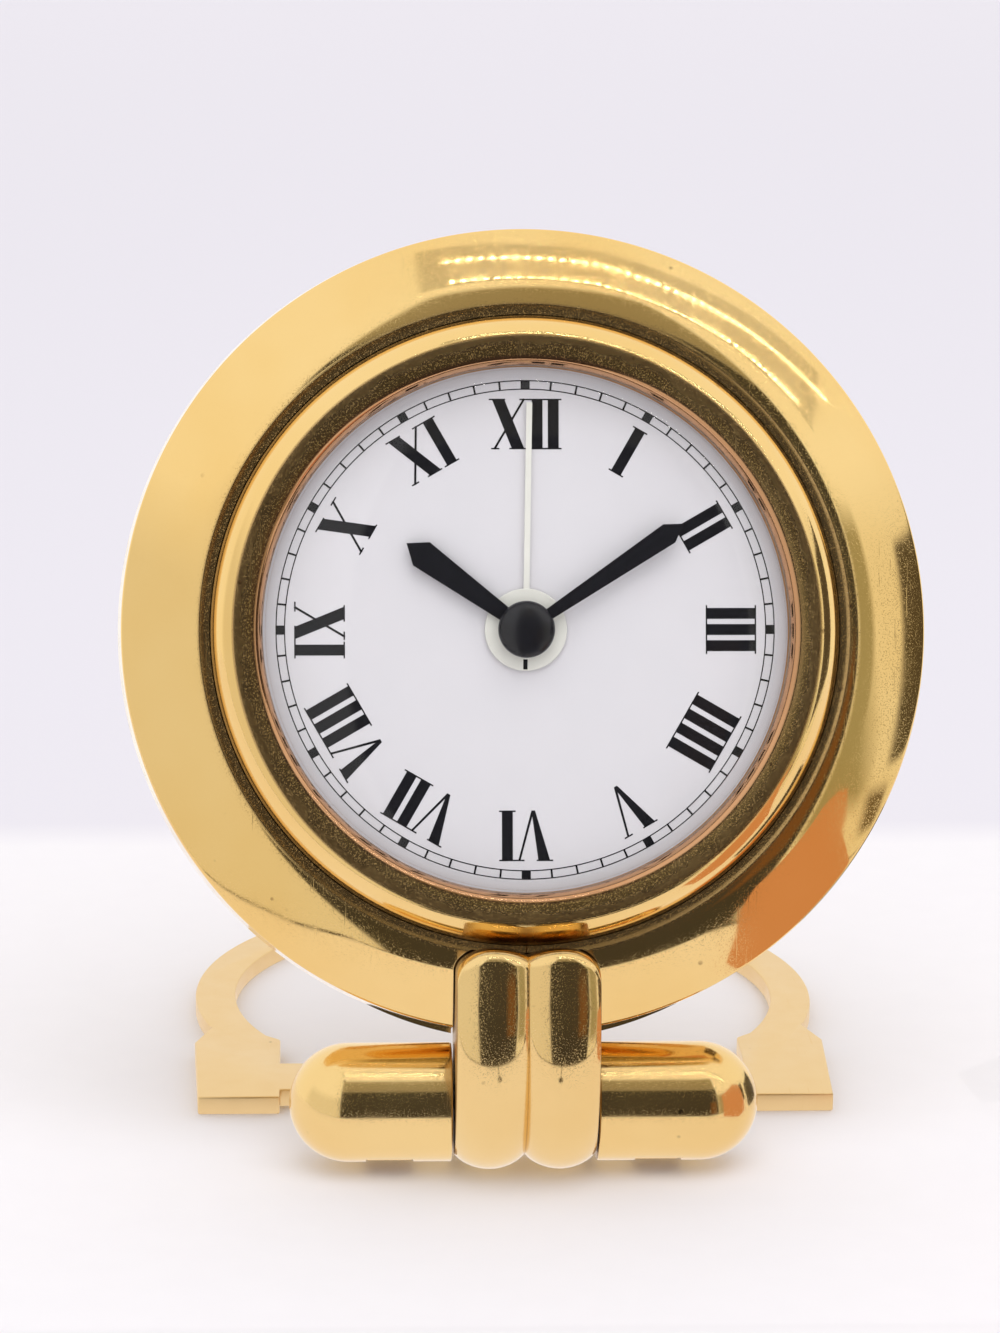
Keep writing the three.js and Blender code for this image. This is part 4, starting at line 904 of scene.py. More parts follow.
def gold(name, base, deep, rough, spread, pitting):
    """Gold plate with wear; dirt with painted shade, and copper tone, come from masks on the mesh."""
    material, tree, bsdf, coord = shader(name)
    wear = add(tree, "ShaderNodeGroup", node_tree=WEAR)
    tree.links.new(coord, wear.inputs[0])
    dirt_and_shade = masked(tree, "dirt_and_shade")
    copper = masked(tree, "copper")
    satin = masked(tree, "satin")
    colour = mix(tree, wear.outputs["Drift"], (*base, 1), (*deep, 1))
    colour = mix(tree, satin, colour, (0.8, 0.58, 0.29, 1))
    colour = mix(tree, copper, colour, (0.6, 0.33, 0.17, 1))
    # Dirt and painted shade: this mask darkens the colour in hollows, creases and gaps between parts
    colour = mix(tree, sums(tree, "MULTIPLY", dirt_and_shade, 0.8), colour, (0.28, 0.17, 0.08, 1))
    colour = mix(tree, sums(tree, "MULTIPLY", wear.outputs["Spots"], 0.75), colour, (0.16, 0.08, 0.03, 1))
    tree.links.new(colour, bsdf.inputs["Base Color"])
    bsdf.inputs["Metallic"].default_value = 1.0
    dull = step_between(tree, wear.outputs["Haze"], 0.0, 1.0, rough, rough + spread)
    dull = sums(tree, "ADD", dull, sums(tree, "MULTIPLY", satin, 0.26))
    dull = sums(tree, "ADD", dull, sums(tree, "MULTIPLY", wear.outputs["Hairlines"], 0.12))
    dull = sums(tree, "ADD", dull, sums(tree, "MULTIPLY", dirt_and_shade, 0.26))
    tree.links.new(dull, bsdf.inputs["Roughness"])
    depth = sums(tree, "ADD", sums(tree, "MULTIPLY", dirt_and_shade, 2.0), pitting)
    height = sums(tree, "MULTIPLY", wear.outputs["Pits"], depth)
    height = sums(tree, "SUBTRACT", height, sums(tree, "MULTIPLY", wear.outputs["Hairlines"], 0.25))
    bump = add(tree, "ShaderNodeBump", {"Strength": 0.45, "Distance": 0.000015, "Height": height})
    tree.links.new(bump.outputs["Normal"], bsdf.inputs["Normal"])
    return material


def plain(name, colour, metal, rough, grain=0.03, scale=900):
    """A simple finish with a slight procedural mottle."""
    material, tree, bsdf, coord = shader(name)
    mottle = noise(tree, coord, scale, 3)
    dark = tuple(max(0.0, c * (1 - 4 * grain)) for c in colour)
    share = step_between(tree, mottle, 0.3, 0.7)
    tree.links.new(mix(tree, share, (*dark, 1), (*colour, 1)), bsdf.inputs["Base Color"])
    bsdf.inputs["Metallic"].default_value = metal
    tree.links.new(step_between(tree, mottle, 0.3, 0.7, rough + grain, rough), bsdf.inputs["Roughness"])
    return material


def crystal_material():
    """Clear crystal: see-through, with the sheen of glass where it is seen at a slant."""
    material, tree, bsdf, coord = shader("crystal")
    output = next(n for n in tree.nodes if n.type == "OUTPUT_MATERIAL")
    tree.nodes.remove(bsdf)
    tint = mix(tree, noise(tree, coord, 300, 2), (0.985, 0.99, 0.99, 1), (1, 1, 1, 1))
    clear = add(tree, "ShaderNodeBsdfTransparent", {"Color": tint})
    smear = step_between(tree, noise(tree, coord, 90, 4, 0.7), 0.4, 0.7, 0.005, 0.04)
    sheen = add(tree, "ShaderNodeBsdfGlossy", {"Roughness": smear})
    fresnel = add(tree, "ShaderNodeFresnel", {"IOR": 1.45})
    outside = sums(tree, "SUBTRACT", 1.0, tree.nodes.new("ShaderNodeNewGeometry").outputs["Backfacing"])
    share = add(tree, "ShaderNodeMixShader", {0: sums(tree, "MULTIPLY", fresnel.outputs[0], outside)})
    tree.links.new(clear.outputs[0], share.inputs[1])
    tree.links.new(sheen.outputs[0], share.inputs[2])
    tree.links.new(share.outputs[0], output.inputs["Surface"])
    return material


MATERIALS = {
    "case_gold": gold("case_gold", (0.88, 0.63, 0.27), (0.85, 0.58, 0.22), 0.04, 0.06, 0.3),
    "bracket_gold": gold("bracket_gold", (0.86, 0.63, 0.29), (0.82, 0.57, 0.24), 0.06, 0.08, 0.8),
    "stand_gold": gold("stand_gold", (0.87, 0.63, 0.28), (0.83, 0.57, 0.23), 0.08, 0.1, 0.6),
    "back_gold": gold("back_gold", (0.84, 0.61, 0.27), (0.78, 0.54, 0.21), 0.2, 0.12, 0.3),
    # The steel is kept dark: painted shade for the washer seen in the narrow gap beside the bracket
    "steel": plain("steel", (0.3, 0.28, 0.26), 1.0, 0.35),
    "crystal": crystal_material(),
    "seal_rubber": plain("seal_rubber", (0.02, 0.02, 0.02), 0.0, 0.7),
    "reflector_copper": plain("reflector_copper", (0.6, 0.33, 0.16), 1.0, 0.3),
    "dial_enamel": plain("dial_enamel", (0.765, 0.745, 0.775), 0.0, 0.4, 0.003, 200),
    "pale_plastic": plain("pale_plastic", (0.75, 0.73, 0.68), 0.0, 0.5),
    "dark_plastic": plain("dark_plastic", (0.03, 0.03, 0.032), 0.0, 0.45),
    "movement_brass": plain("movement_brass", (0.72, 0.53, 0.25), 1.0, 0.3),
    "coil_copper": plain("coil_copper", (0.7, 0.32, 0.14), 1.0, 0.35),
    "circuit": plain("circuit", (0.05, 0.25, 0.1), 0.0, 0.45),
    "black_paint": plain("black_paint", (0.01, 0.01, 0.014), 0.0, 0.25, 0.01),
    "cream_paint": plain("cream_paint", (0.84, 0.83, 0.76), 0.0, 0.4, 0.01),
}


def paint_masks(obj, place, masks):
    """Mask layers on a mesh, each a function of the place (x, y, z) in the frame `place`."""
    back = place.inverted()
    for label, rule_of in masks.items():
        layer = obj.data.attributes.new(label, "FLOAT", "POINT")
        for vertex, value in zip(obj.data.vertices, layer.data):
            value.value = rule_of(*(back @ (vertex.co / MM)))


def between(value, low, high, soft):
    """1 inside two limits, falling to 0 over `soft` outside them."""
    return max(0.0, min(1.0, (value - low) / soft + 1, (high - value) / soft + 1))


def dress(obj, slot):
    """Give an object the material of its slot."""
    obj.data.materials.clear()
    obj.data.materials.append(MATERIALS[slot])


slot_of = {s["node"]: s["material_slot"] for s in frame["record"]["subparts"]}
for node, obj in frame["nodes"].items():
    dress(obj, slot_of[node])


def piece(name, parts, place, body, slot, stands_for=(), sharp=32.0):
    """A dressed piece from points and faces."""
    verts, faces = parts
    obj = make(name, verts, faces, place, body, stands_for, sharp)
    dress(obj, slot)
    return obj


def piece_from(name, mesh, body, slot, stands_for=(), sharp=32.0):
    """A dressed piece from a mesh already in place."""
    obj = finish_mesh(name, mesh, body, stands_for, sharp)
    dress(obj, slot)
    return obj


def ring_dirt_and_shade(x, y, z):
    """Dirt and painted shade in the groove inside the ring and on the notch's walls beside the bracket."""
    radius, angle = math.hypot(x, y), math.atan2(abs(x), -y)
    if 0.01 < angle < 0.35 and angle < notch_angle(max(radius, MOUTH)) + 0.0008:
        return 1.0
    return 0.7 * between(radius, GROOVE_MOUTH, CHANNEL + 0.02, 0.2) * between(z, 4.0, RING_CREST + 1, 0.05)


def bezel_dirt_and_shade(x, y, z):
    """Dirt and painted shade on the flank, along the lip and at the bead's foot, most of all near the
    bracket.
    """
    radius = math.hypot(x, y)
    flank = between(radius, LIP - 0.1, COVE + 0.02, 0.12) if z > LIP_TOP + 0.3 else 0.0
    lip_line = between(radius, OPENING - 0.1, OPENING + 0.03, 0.05) if z > LIP_BACK - 0.01 else 0.0
    near_bracket = between(math.atan2(abs(x), -y), -1, 0.23, 0.03) * between(z, 4.0, 5.9, 1.2)
    foot = 0.5 * between(z, 4.0, 5.15, 0.1)
    return max(flank * min(1.0, 0.6 + 0.25 * (radius - LIP)), lip_line, foot, near_bracket)


def knot_dirt_and_shade(x, y, z):
    """Dirt and painted shade on the bracket's sides, in the valley between its lobes and on its top."""
    side = between(abs(x), KNOT_HALF - 0.015, 9, 0.01)
    valley = 0.3 * between(abs(x), -1, 0.01, 0.05)
    top = between(y, top_of_knot(x) - 0.03, 20, 0.12) * between(z, -9, KNOT_FRONT - 1.6, 0.5)
    return max(side, valley, top)


# Geometry trees
def plant(name, sizes):
    """A geometry tree with named inputs for its sizes and its material, and the sockets that give them."""
    tree = bpy.data.node_groups.new(name, "GeometryNodeTree")
    tree.interface.new_socket("Mesh", in_out="OUTPUT", socket_type="NodeSocketGeometry")
    tree.interface.new_socket("Mesh", in_out="INPUT", socket_type="NodeSocketGeometry")
    for label, kind in sizes.items():
        tree.interface.new_socket(label, in_out="INPUT", socket_type="NodeSocket" + kind)
    tree.interface.new_socket("Material", in_out="INPUT", socket_type="NodeSocketMaterial")
    return tree, tree.nodes.new("NodeGroupInput").outputs


def finish_tree(tree, source, *shapes):
    """End a tree in Realize Instances and Set Material."""
    joined = tree.nodes.new("GeometryNodeJoinGeometry")
    for shape in shapes:
        tree.links.new(shape, joined.inputs[0])
    real = add(tree, "GeometryNodeRealizeInstances", {"Geometry": joined.outputs[0]}).outputs[0]
    dressed = add(tree, "GeometryNodeSetMaterial", {"Geometry": real, "Material": source["Material"]})
    drain = tree.nodes.new("NodeGroupOutput")
    tree.links.new(dressed.outputs[0], drain.inputs["Mesh"])
    return tree


def vector(tree, x=0.0, y=0.0, z=0.0):
    """Three values or sockets as one vector."""
    return add(tree, "ShaderNodeCombineXYZ", {"X": x, "Y": y, "Z": z}).outputs[0]


def moved(tree, shape, x=0.0, y=0.0, z=0.0):
    """A shape moved by values or sockets."""
    inputs = {"Geometry": shape, "Translation": vector(tree, x, y, z)}
    return add(tree, "GeometryNodeTransform", inputs).outputs["Geometry"]


def circle(tree, steps, radius):
    """A circle round the axis, as a path."""
    inputs = {"Resolution": steps, "Radius": radius}
    return add(tree, "GeometryNodeCurvePrimitiveCircle", inputs, mode="RADIUS").outputs["Curve"]


def sweep(tree, path, profile):
    """The surface that a profile leaves along a path."""
    inputs = {"Curve": path, "Profile Curve": profile}
    return add(tree, "GeometryNodeCurveToMesh", inputs).outputs["Mesh"]


def drawn(tree, shape, radius):
    """A profile drawn as (radius, height), made a curve and set out from a path of that radius."""
    flipped = add(tree, "GeometryNodeTransform", {"Geometry": shape, "Scale": (1, -1, 1)}).outputs["Geometry"]
    shifted = moved(tree, flipped, sums(tree, "MULTIPLY", radius, -1.0))
    return add(tree, "GeometryNodeMeshToCurve", {"Mesh": shifted}).outputs["Curve"]


def cube(tree, x, y, z):
    """A box of three sizes, centred."""
    return add(tree, "GeometryNodeMeshCube", {"Size": vector(tree, x, y, z)}).outputs["Mesh"]


def copies(tree, points, shape, turn=0.0, chosen=True):
    """Copies of a shape on the chosen points, each turned round the axis."""
    inputs = {"Points": points, "Selection": chosen, "Instance": shape, "Rotation": vector(tree, z=turn)}
    return add(tree, "GeometryNodeInstanceOnPoints", inputs).outputs["Instances"]


def number(tree):
    """Which copy a point stands for, counted from 0."""
    return tree.nodes.new("GeometryNodeInputIndex").outputs[0]


def points_at(tree, count, place):
    """Points whose place follows from their number."""
    return add(tree, "GeometryNodePoints", {"Count": count, "Position": place}).outputs[0]


def points_round(tree, count, radius, level):
    """Points at even steps round a circle, the first half a step from the x axis."""
    step = sums(tree, "DIVIDE", 2 * math.pi, count)
    angle = sums(tree, "MULTIPLY", sums(tree, "ADD", number(tree), 0.5), step)
    x = sums(tree, "MULTIPLY", radius, sums(tree, "COSINE", angle, 0.0))
    y = sums(tree, "MULTIPLY", radius, sums(tree, "SINE", angle, 0.0))
    return points_at(tree, count, vector(tree, x, y, level))


def turned_tree():
    """A ring or disc turned from its profile."""
    tree, source = plant("turned", {"Steps": "Int", "Path": "Float"})
    path = circle(tree, source["Steps"], source["Path"])
    return finish_tree(tree, source, sweep(tree, path, drawn(tree, source["Mesh"], source["Path"])))


def track_tree():
    """The minute track: two fine circles and a tick for each minute, every fifth a wide one."""
    labels = ("Inner", "Outer", "Line", "Tick", "Fifth", "Foot", "Circle High", "Tick High")
    kinds = dict.fromkeys(labels, "Float")
    tree, source = plant("minute_track", {"Minutes": "Int", **kinds})
    half_line = sums(tree, "MULTIPLY", source["Line"], 0.5)
    inputs = {"Width": source["Line"], "Height": source["Circle High"]}
    section = add(tree, "GeometryNodeCurvePrimitiveQuadrilateral", inputs).outputs["Curve"]
    circle_level = sums(tree, "ADD", source["Foot"], sums(tree, "MULTIPLY", source["Circle High"], 0.5))
    shapes = []
    for edge, towards in (("Inner", "ADD"), ("Outer", "SUBTRACT")):
        path = circle(tree, 360, sums(tree, towards, source[edge], half_line))
        shapes.append(moved(tree, sweep(tree, path, section), z=circle_level))
    minute = number(tree)
    points = points_at(tree, source["Minutes"], (0, 0, 0))
    turn = sums(tree, "MULTIPLY", minute, sums(tree, "DIVIDE", -2 * math.pi, source["Minutes"]))
    fifth = sums(tree, "LESS_THAN", sums(tree, "MODULO", minute, 5.0), 0.5)
    other = sums(tree, "SUBTRACT", 1.0, fifth)
    long = sums(tree, "SUBTRACT", source["Outer"], source["Inner"])
    middle = sums(tree, "MULTIPLY", sums(tree, "ADD", source["Outer"], source["Inner"]), 0.5)
    tick_level = sums(tree, "ADD", source["Foot"], sums(tree, "MULTIPLY", source["Tick High"], 0.5))
    for width, chosen in ((source["Fifth"], fifth), (source["Tick"], other)):
        tick = moved(tree, cube(tree, width, long, source["Tick High"]), y=middle, z=tick_level)
        shapes.append(copies(tree, points, tick, turn, chosen))
    return finish_tree(tree, source, *shapes)


def knurl_tree():
    """A turned rim whose outer points are pressed in between the teeth."""
    tree, source = plant("knurled_rim", {"Teeth": "Int", "Radius": "Float", "Depth": "Float"})
    steps = sums(tree, "MULTIPLY", source["Teeth"], 4.0)
    rim = sweep(tree, circle(tree, steps, source["Radius"]), drawn(tree, source["Mesh"], source["Radius"]))
    place = tree.nodes.new("GeometryNodeInputPosition").outputs[0]
    x, y, z = add(tree, "ShaderNodeSeparateXYZ", {0: place}).outputs
    turns = sums(tree, "DIVIDE", sums(tree, "ARCTAN2", y, x), 2 * math.pi)
    step = sums(tree, "ROUND", sums(tree, "MULTIPLY", turns, steps), 0.0)
    gap = sums(tree, "GREATER_THAN", sums(tree, "FLOORED_MODULO", step, 4.0), 1.5)
    outside = sums(tree, "GREATER_THAN", distance(tree, x, y), sums(tree, "MULTIPLY", source["Radius"], 0.95))
    share = sums(tree, "SUBTRACT", 1.0, sums(tree, "DIVIDE", source["Depth"], source["Radius"]))
    inputs = {0: place, 1: vector(tree, share, share, 1.0)}
    pressed = add(tree, "ShaderNodeVectorMath", inputs, operation="MULTIPLY").outputs[0]
    inputs = {"Geometry": rim, "Selection": sums(tree, "MULTIPLY", gap, outside), "Position": pressed}
    toothed = add(tree, "GeometryNodeSetPosition", inputs).outputs["Geometry"]
    half_step = vector(tree, z=sums(tree, "DIVIDE", math.pi, steps))
    inputs = {"Geometry": toothed, "Rotation": half_step}
    return finish_tree(tree, source, add(tree, "GeometryNodeTransform", inputs).outputs["Geometry"])


def slot_shade_tree():
    """Dark marks for the slots in a ring of screws, painted shade standing in for their recesses, each turned
    a little further than the last.
    """
    kinds = dict.fromkeys(("Circle", "Length", "Width", "Depth", "Level", "First Turn", "Turn Step"), "Float")
    tree, source = plant("screw_slot_shade", {"Screws": "Int", **kinds})
    points = points_round(tree, source["Screws"], source["Circle"], source["Level"])
    further = sums(tree, "MULTIPLY", number(tree), source["Turn Step"])
    turn = sums(tree, "ADD", source["First Turn"], further)
    mark = cube(tree, source["Length"], source["Width"], source["Depth"])
    return finish_tree(tree, source, copies(tree, points, mark, turn))


def pierced_tree():
    """Cut a row of sound holes and a ring of screw holes into a cover."""
    holes = ("Sound Hole", "Pitch", "Buzzer X", "Buzzer Y", "Screw Hole", "Screw Circle", "Screw Floor")
    kinds = dict.fromkeys((*holes, "Cut From", "Cut To"), "Float")
    tree, source = plant("pierced_cover", {"Sound Holes": "Int", "Screws": "Int", **kinds})

    def drill(radius, end, sides):
        """A cylinder standing on the level where cuts start, and the height of its middle."""
        depth = sums(tree, "SUBTRACT", end, source["Cut From"])
        inputs = {"Vertices": sides, "Radius": radius, "Depth": depth}
        middle = sums(tree, "MULTIPLY", sums(tree, "ADD", end, source["Cut From"]), 0.5)
        return add(tree, "GeometryNodeMeshCylinder", inputs).outputs["Mesh"], middle

    sound, sound_level = drill(source["Sound Hole"], source["Cut To"], 24)
    last = sums(tree, "SUBTRACT", source["Sound Holes"], 1.0)
    from_middle = sums(tree, "SUBTRACT", number(tree), sums(tree, "MULTIPLY", last, 0.5))
    along = sums(tree, "ADD", source["Buzzer Y"], sums(tree, "MULTIPLY", from_middle, source["Pitch"]))
    row = points_at(tree, source["Sound Holes"], vector(tree, source["Buzzer X"], along, sound_level))
    bore, bore_level = drill(source["Screw Hole"], source["Screw Floor"], 32)
    ring = points_round(tree, source["Screws"], source["Screw Circle"], bore_level)
    drills = tree.nodes.new("GeometryNodeJoinGeometry")
    for points, shape in ((row, sound), (ring, bore)):
        tree.links.new(copies(tree, points, shape), drills.inputs[0])
    real = add(tree, "GeometryNodeRealizeInstances", {"Geometry": drills.outputs[0]}).outputs[0]
    inputs = {"Mesh 1": source["Mesh"], "Mesh 2": real}
    pierced = add(tree, "GeometryNodeMeshBoolean", inputs, operation="DIFFERENCE", solver="EXACT")
    return finish_tree(tree, source, pierced.outputs["Mesh"])


TURNED = turned_tree()
MINUTE_TRACK = track_tree()
KNURLED_RIM = knurl_tree()
SCREW_SLOT_SHADE = slot_shade_tree()
PIERCED_COVER = pierced_tree()
DOT = [(0.0, 0.0, 0.0)], []
TURNING_PATH = 10.0


def grow(obj, tree, slot, sizes):
    """Run a geometry tree on a loose object, each input set by its socket's identifier."""
    modifier = obj.modifiers.new(tree.name, "NODES")
    modifier.node_group = tree
    sockets = {item.name: item.identifier for item in tree.interface.items_tree if item.in_out == "INPUT"}
    for label, value in {**sizes, "Material": MATERIALS[slot]}.items():
        modifier[sockets[label]] = value
    return apply_all(obj)


def grown(name, base, tree, sizes, place, body, slot, stands_for=()):
    """A piece that a geometry tree makes from a base of points, faces and edges."""
    mesh = take_mesh(grow(scratch(*base), tree, slot, sizes), place)
    return finish_mesh(name, mesh, body, stands_for)


def turned(name, profile, steps, body, slot, stands_for=(), close=True):
    """A piece of the case turned from its profile."""
    sizes = {"Steps": steps, "Path": TURNING_PATH}
    return grown(name, loop_of(profile, close), TURNED, sizes, FACE, body, slot, stands_for)


# Case
ring = piece("ring_case", build_case_ring(), FACE, "case", "case_gold", ["case_ring"])
# Dirt and painted shade in the ring's groove and on the walls of its notch
paint_masks(ring, FACE, {"dirt_and_shade": ring_dirt_and_shade})
piece("case_chin", build_chin(), FACE, "case", "case_gold")
inner = turned("inner_bezel", bezel_profile(), 256, "case", "case_gold", ["bezel"])


def lip_copper(x, y, z):
    """Copper tone on the bezel's thin lip."""
    return between(math.hypot(x, y), OPENING, LIP - 0.15, 0.3) if z > LIP_BACK - 0.01 else 0.0


# Dirt and painted shade on the bezel's flank, lip and foot; copper tone on the lip
paint_masks(inner, FACE, {"dirt_and_shade": bezel_dirt_and_shade, "copper": lip_copper})
turned("clear_crystal", crystal_profile(), 192, "case", "crystal", ["crystal"], close=False)
low, high, slant = 5.15, 5.5, 0.1
ring_section = [(OPENING, low), (CRYSTAL_R, low), (CRYSTAL_R, high)]
ring_section += [(OPENING + slant, high), (OPENING, high - slant)]
turned("copper_ring", ring_section, 192, "case", "reflector_copper", ["reflector_ring"])
dial_section = [(DIAL_HOLE, DIAL_BACK), (DIAL_R, DIAL_BACK), (DIAL_R, DIAL), (DIAL_HOLE, DIAL)]
turned("white_dial", dial_section, 192, "case", "dial_enamel", ["dial"])
piece("hour_numerals", build_numerals(), FACE, "case", "black_paint")
track_sizes = {
    "Minutes": 60,
    "Inner": TRACK_INNER,
    "Outer": TRACK_OUTER,
    "Line": TRACK_LINE,
    "Tick": TICK,
    "Fifth": FIFTH_TICK,
    "Foot": DIAL + PRINT_FOOT,
    "Circle High": PRINT_HIGH,
    "Tick High": TICK_HIGH,
}
grown("minute_track", DOT, MINUTE_TRACK, track_sizes, FACE, "case", "black_paint")
knot = piece("knot", build_knot(), CASE, "case", "bracket_gold", ["knot_bracket"], 62.0)
# Dirt and painted shade on the bracket's sides, valley and top
paint_masks(knot, CASE, {"dirt_and_shade": knot_dirt_and_shade})
piece_from("rear_cover", build_case_back(), "case", "back_gold", ["case_back"])
slot_sizes = {
    "Screws": SCREWS,
    "Circle": SCREW_CIRCLE,
    "Length": SLOT_LENGTH,
    "Width": SLOT_WIDTH,
    "Depth": SLOT_DEPTH,
    "Level": BACK_PLANE - 0.001,
    "First Turn": SLOT_TURN,
    "Turn Step": SLOT_TURN_STEP,
}
# Painted shade: thin black marks stand in for the recessed screw slots
grown("screw_slot_shade", DOT, SCREW_SLOT_SHADE, slot_sizes, FACE, "case", "black_paint")
knurl_sizes = {"Teeth": KNURL_TEETH, "Radius": KNURL, "Depth": KNURL_DEPTH}
knobs = (("time_knurl", TIME_KNOB, "time_setter"), ("alarm_knurl", ALARM_KNOB, "alarm_setter"))
for name, knob, body in knobs:
    at_knob = FACE @ Matrix.Translation((*knob, 0.0))
    grown(name, loop_of(knurl_profile()), KNURLED_RIM, knurl_sizes, at_knob, body, "dark_plastic")

# Stand
for name, side in (("left", -1), ("right", 1)):
    bar = piece_from("bar_" + name, build_capsule(side), "stand", "stand_gold", [name + "_capsule"])
    # Dirt and painted shade on the inner end of each half of the bar, in the gap beside the bracket
    paint_masks(bar, STAND, {"dirt_and_shade": lambda x, y, z: between(abs(x), 0, CAPSULE_INNER + 0.01, 0.03)})
arch = piece_from("arch_plate", build_stand(), "stand", "stand_gold", ["arch_stand"], 50.0)
arms = piece("arch_arms", build_arms(), STAND, "stand", "stand_gold")
for satin_piece in (arch, arms):
    paint_masks(satin_piece, STAND, {"satin": lambda x, y, z: 1.0})

# Hands
minute_shape = merge(blade(MINUTE_LEVEL, **MINUTE_HAND), hub(MINUTE_BORE, HUB, MINUTE_LEVEL))
piece("minute_blade", minute_shape, FACE, "minute_arbor", "black_paint", ["minute_hand"])
hour_shape = merge(blade(HOUR_LEVEL, **HOUR_HAND), hub(HOUR_BORE, HUB, HOUR_LEVEL))
piece("hour_blade", hour_shape, FACE, "hour_pipe", "black_paint", ["hour_hand"])
alarm_frame = FACE @ Matrix.Rotation(-math.radians(ALARM_AT), 4, "Z")
baton = block(-BATON_HALF, BATON_HALF, BATON_FROM, BATON_TO, ALARM_LEVEL, ALARM_LEVEL + BATON_THICK)
alarm_shape = merge(baton, hub(ALARM_BORE, ALARM_DISC, ALARM_LEVEL))
piece("alarm_blade", alarm_shape, alarm_frame, "alarm_pipe", "cream_paint", ["alarm_hand"])
disc_front = ALARM_LEVEL + HAND_THICK
slot_mark = block(-MARK_HALF, MARK_HALF, MARK_FROM, MARK_TO, disc_front, disc_front + 0.01)
piece("alarm_disc_slot", slot_mark, alarm_frame, "alarm_pipe", "black_paint")
cap_profile = [(MINUTE_BORE, CAP_FOOT), *arc((0, CAP_FOOT), CAP_R, CAP_RISE, 0, 90, 20)[:-1]]
cap_profile += [(0.0, CAP_FOOT + CAP_RISE), (0.0, CAP_HOLLOW), (MINUTE_BORE, CAP_HOLLOW)]
turned("cap_dome", cap_profile, 96, "minute_arbor", "black_paint", ["hand_cap"])

# Camera, from the fitted photograph
AZIMUTH, ELEVATION, ROLL = math.radians(2.599), math.radians(14.955), math.radians(0.579)
DISTANCE, TARGET = 351.27, Vector((-2.251, -28.177, 41.348))
FOCAL_PIXELS, PHOTO_HEIGHT = 4500, 1333
level = math.cos(ELEVATION)
back = Vector((-math.sin(AZIMUTH) * level, -math.cos(AZIMUTH) * level, math.sin(ELEVATION)))
right = Vector((math.cos(AZIMUTH), -math.sin(AZIMUTH), 0))
up = back.cross(right)
camera_data = bpy.data.cameras.new("camera")
camera_data.sensor_width = 36.0
camera_data.lens = FOCAL_PIXELS * camera_data.sensor_width / PHOTO_HEIGHT
camera_data.clip_start, camera_data.clip_end = 0.01, 20
camera = bpy.data.objects.new("camera", camera_data)
bpy.context.scene.collection.objects.link(camera)
axes = Matrix((right, up, back)).transposed().to_4x4()
standpoint = Matrix.Translation((TARGET + back * DISTANCE) * MM)
camera.matrix_world = standpoint @ axes @ Matrix.Rotation(ROLL, 4, "Z")
bpy.context.scene.camera = camera

# Floor, which turns a cooler white beyond the back edge of the paper, then is painted lighter further back to
# make up for the lamp's falloff
floor_material, tree, bsdf, coord = shader("floor_paper")
mottle = mix(tree, noise(tree, coord, 260, 3), (0.785, 0.768, 0.79, 1), (0.805, 0.788, 0.81, 1))
depth = add(tree, "ShaderNodeSeparateXYZ", {0: coord}).outputs["Y"]
# Painted light: beyond the paper the floor grows lighter with distance
beyond = mix(tree, step_between(tree, depth, 0.1, 0.8), (0.71, 0.69, 0.745, 1), (0.8, 0.775, 0.83, 1))
mottle = mix(tree, step_between(tree, depth, 0.058, 0.066), mottle, beyond)
tree.links.new(mottle, bsdf.inputs["Base Color"])
bsdf.inputs["Roughness"].default_value = 0.8

# The paper as the gold mirrors it, a little brighter
paper_material, tree, bsdf, coord = shader("mirrored_paper")
mottle = mix(tree, noise(tree, coord, 260, 3), (0.8, 0.78, 0.78, 1), (0.83, 0.81, 0.81, 1))
tree.links.new(mottle, bsdf.inputs["Base Color"])
bsdf.inputs["Roughness"].default_value = 0.8
bsdf.inputs["Emission Color"].default_value = (1.0, 0.97, 0.93, 1)
bsdf.inputs["Emission Strength"].default_value = 0.33


def stage_object(name, parts, material):
    """A stage object from points in millimetres."""
    verts, faces = parts
    mesh = bpy.data.meshes.new(name)
    mesh.from_pydata([Vector(v) * MM for v in verts], [], faces)
    mesh.materials.append(material)
    obj = bpy.data.objects.new(name, mesh)
    bpy.context.scene.collection.objects.link(obj)
    return obj


def only_reflected(obj):
    """Leave a stage object out of everything but reflections."""
    obj.visible_camera = False
    obj.visible_diffuse = False
    obj.visible_transmission = False
    obj.visible_volume_scatter = False
    obj.visible_shadow = False
    return obj


def sheet(x0, x1, y0, y1, z):
    """Points and face of a level rectangle."""
    return [(x0, y0, z), (x1, y0, z), (x1, y1, z), (x0, y1, z)], [(0, 1, 2, 3)]


floor = stage_object("floor", sheet(-1200, 1200, -1200, 1200, 0), floor_material)
floor.visible_glossy = False
only_reflected(stage_object("paper", sheet(-400, 240, -61, 62, 0), paper_material))

# Surroundings: a pale light tent with a dark opening towards the camera, seen only in reflections
world = bpy.data.worlds.new("tent")
bpy.context.scene.world = world
world.use_nodes = True
tree = world.node_tree
tree.nodes.clear()

direction = tree.nodes.new("ShaderNodeTexCoord").outputs["Generated"]
split = add(tree, "ShaderNodeSeparateXYZ", {0: direction})
x, y, z = split.outputs
azimuth = sums(tree, "ARCTAN2", x, sums(tree, "MULTIPLY", y, -1.0))
elevation = sums(tree, "ARCTAN2", z, distance(tree, x, y))


def band(value, low, high, soft):
    """1 between two angles in degrees, softened at both edges."""
    low, high, half = math.radians(low), math.radians(high), math.radians(soft) / 2
    rise = step_between(tree, value, low - half, low + half)
    fall = step_between(tree, value, high + half, high - half)
    return sums(tree, "MULTIPLY", rise, fall)


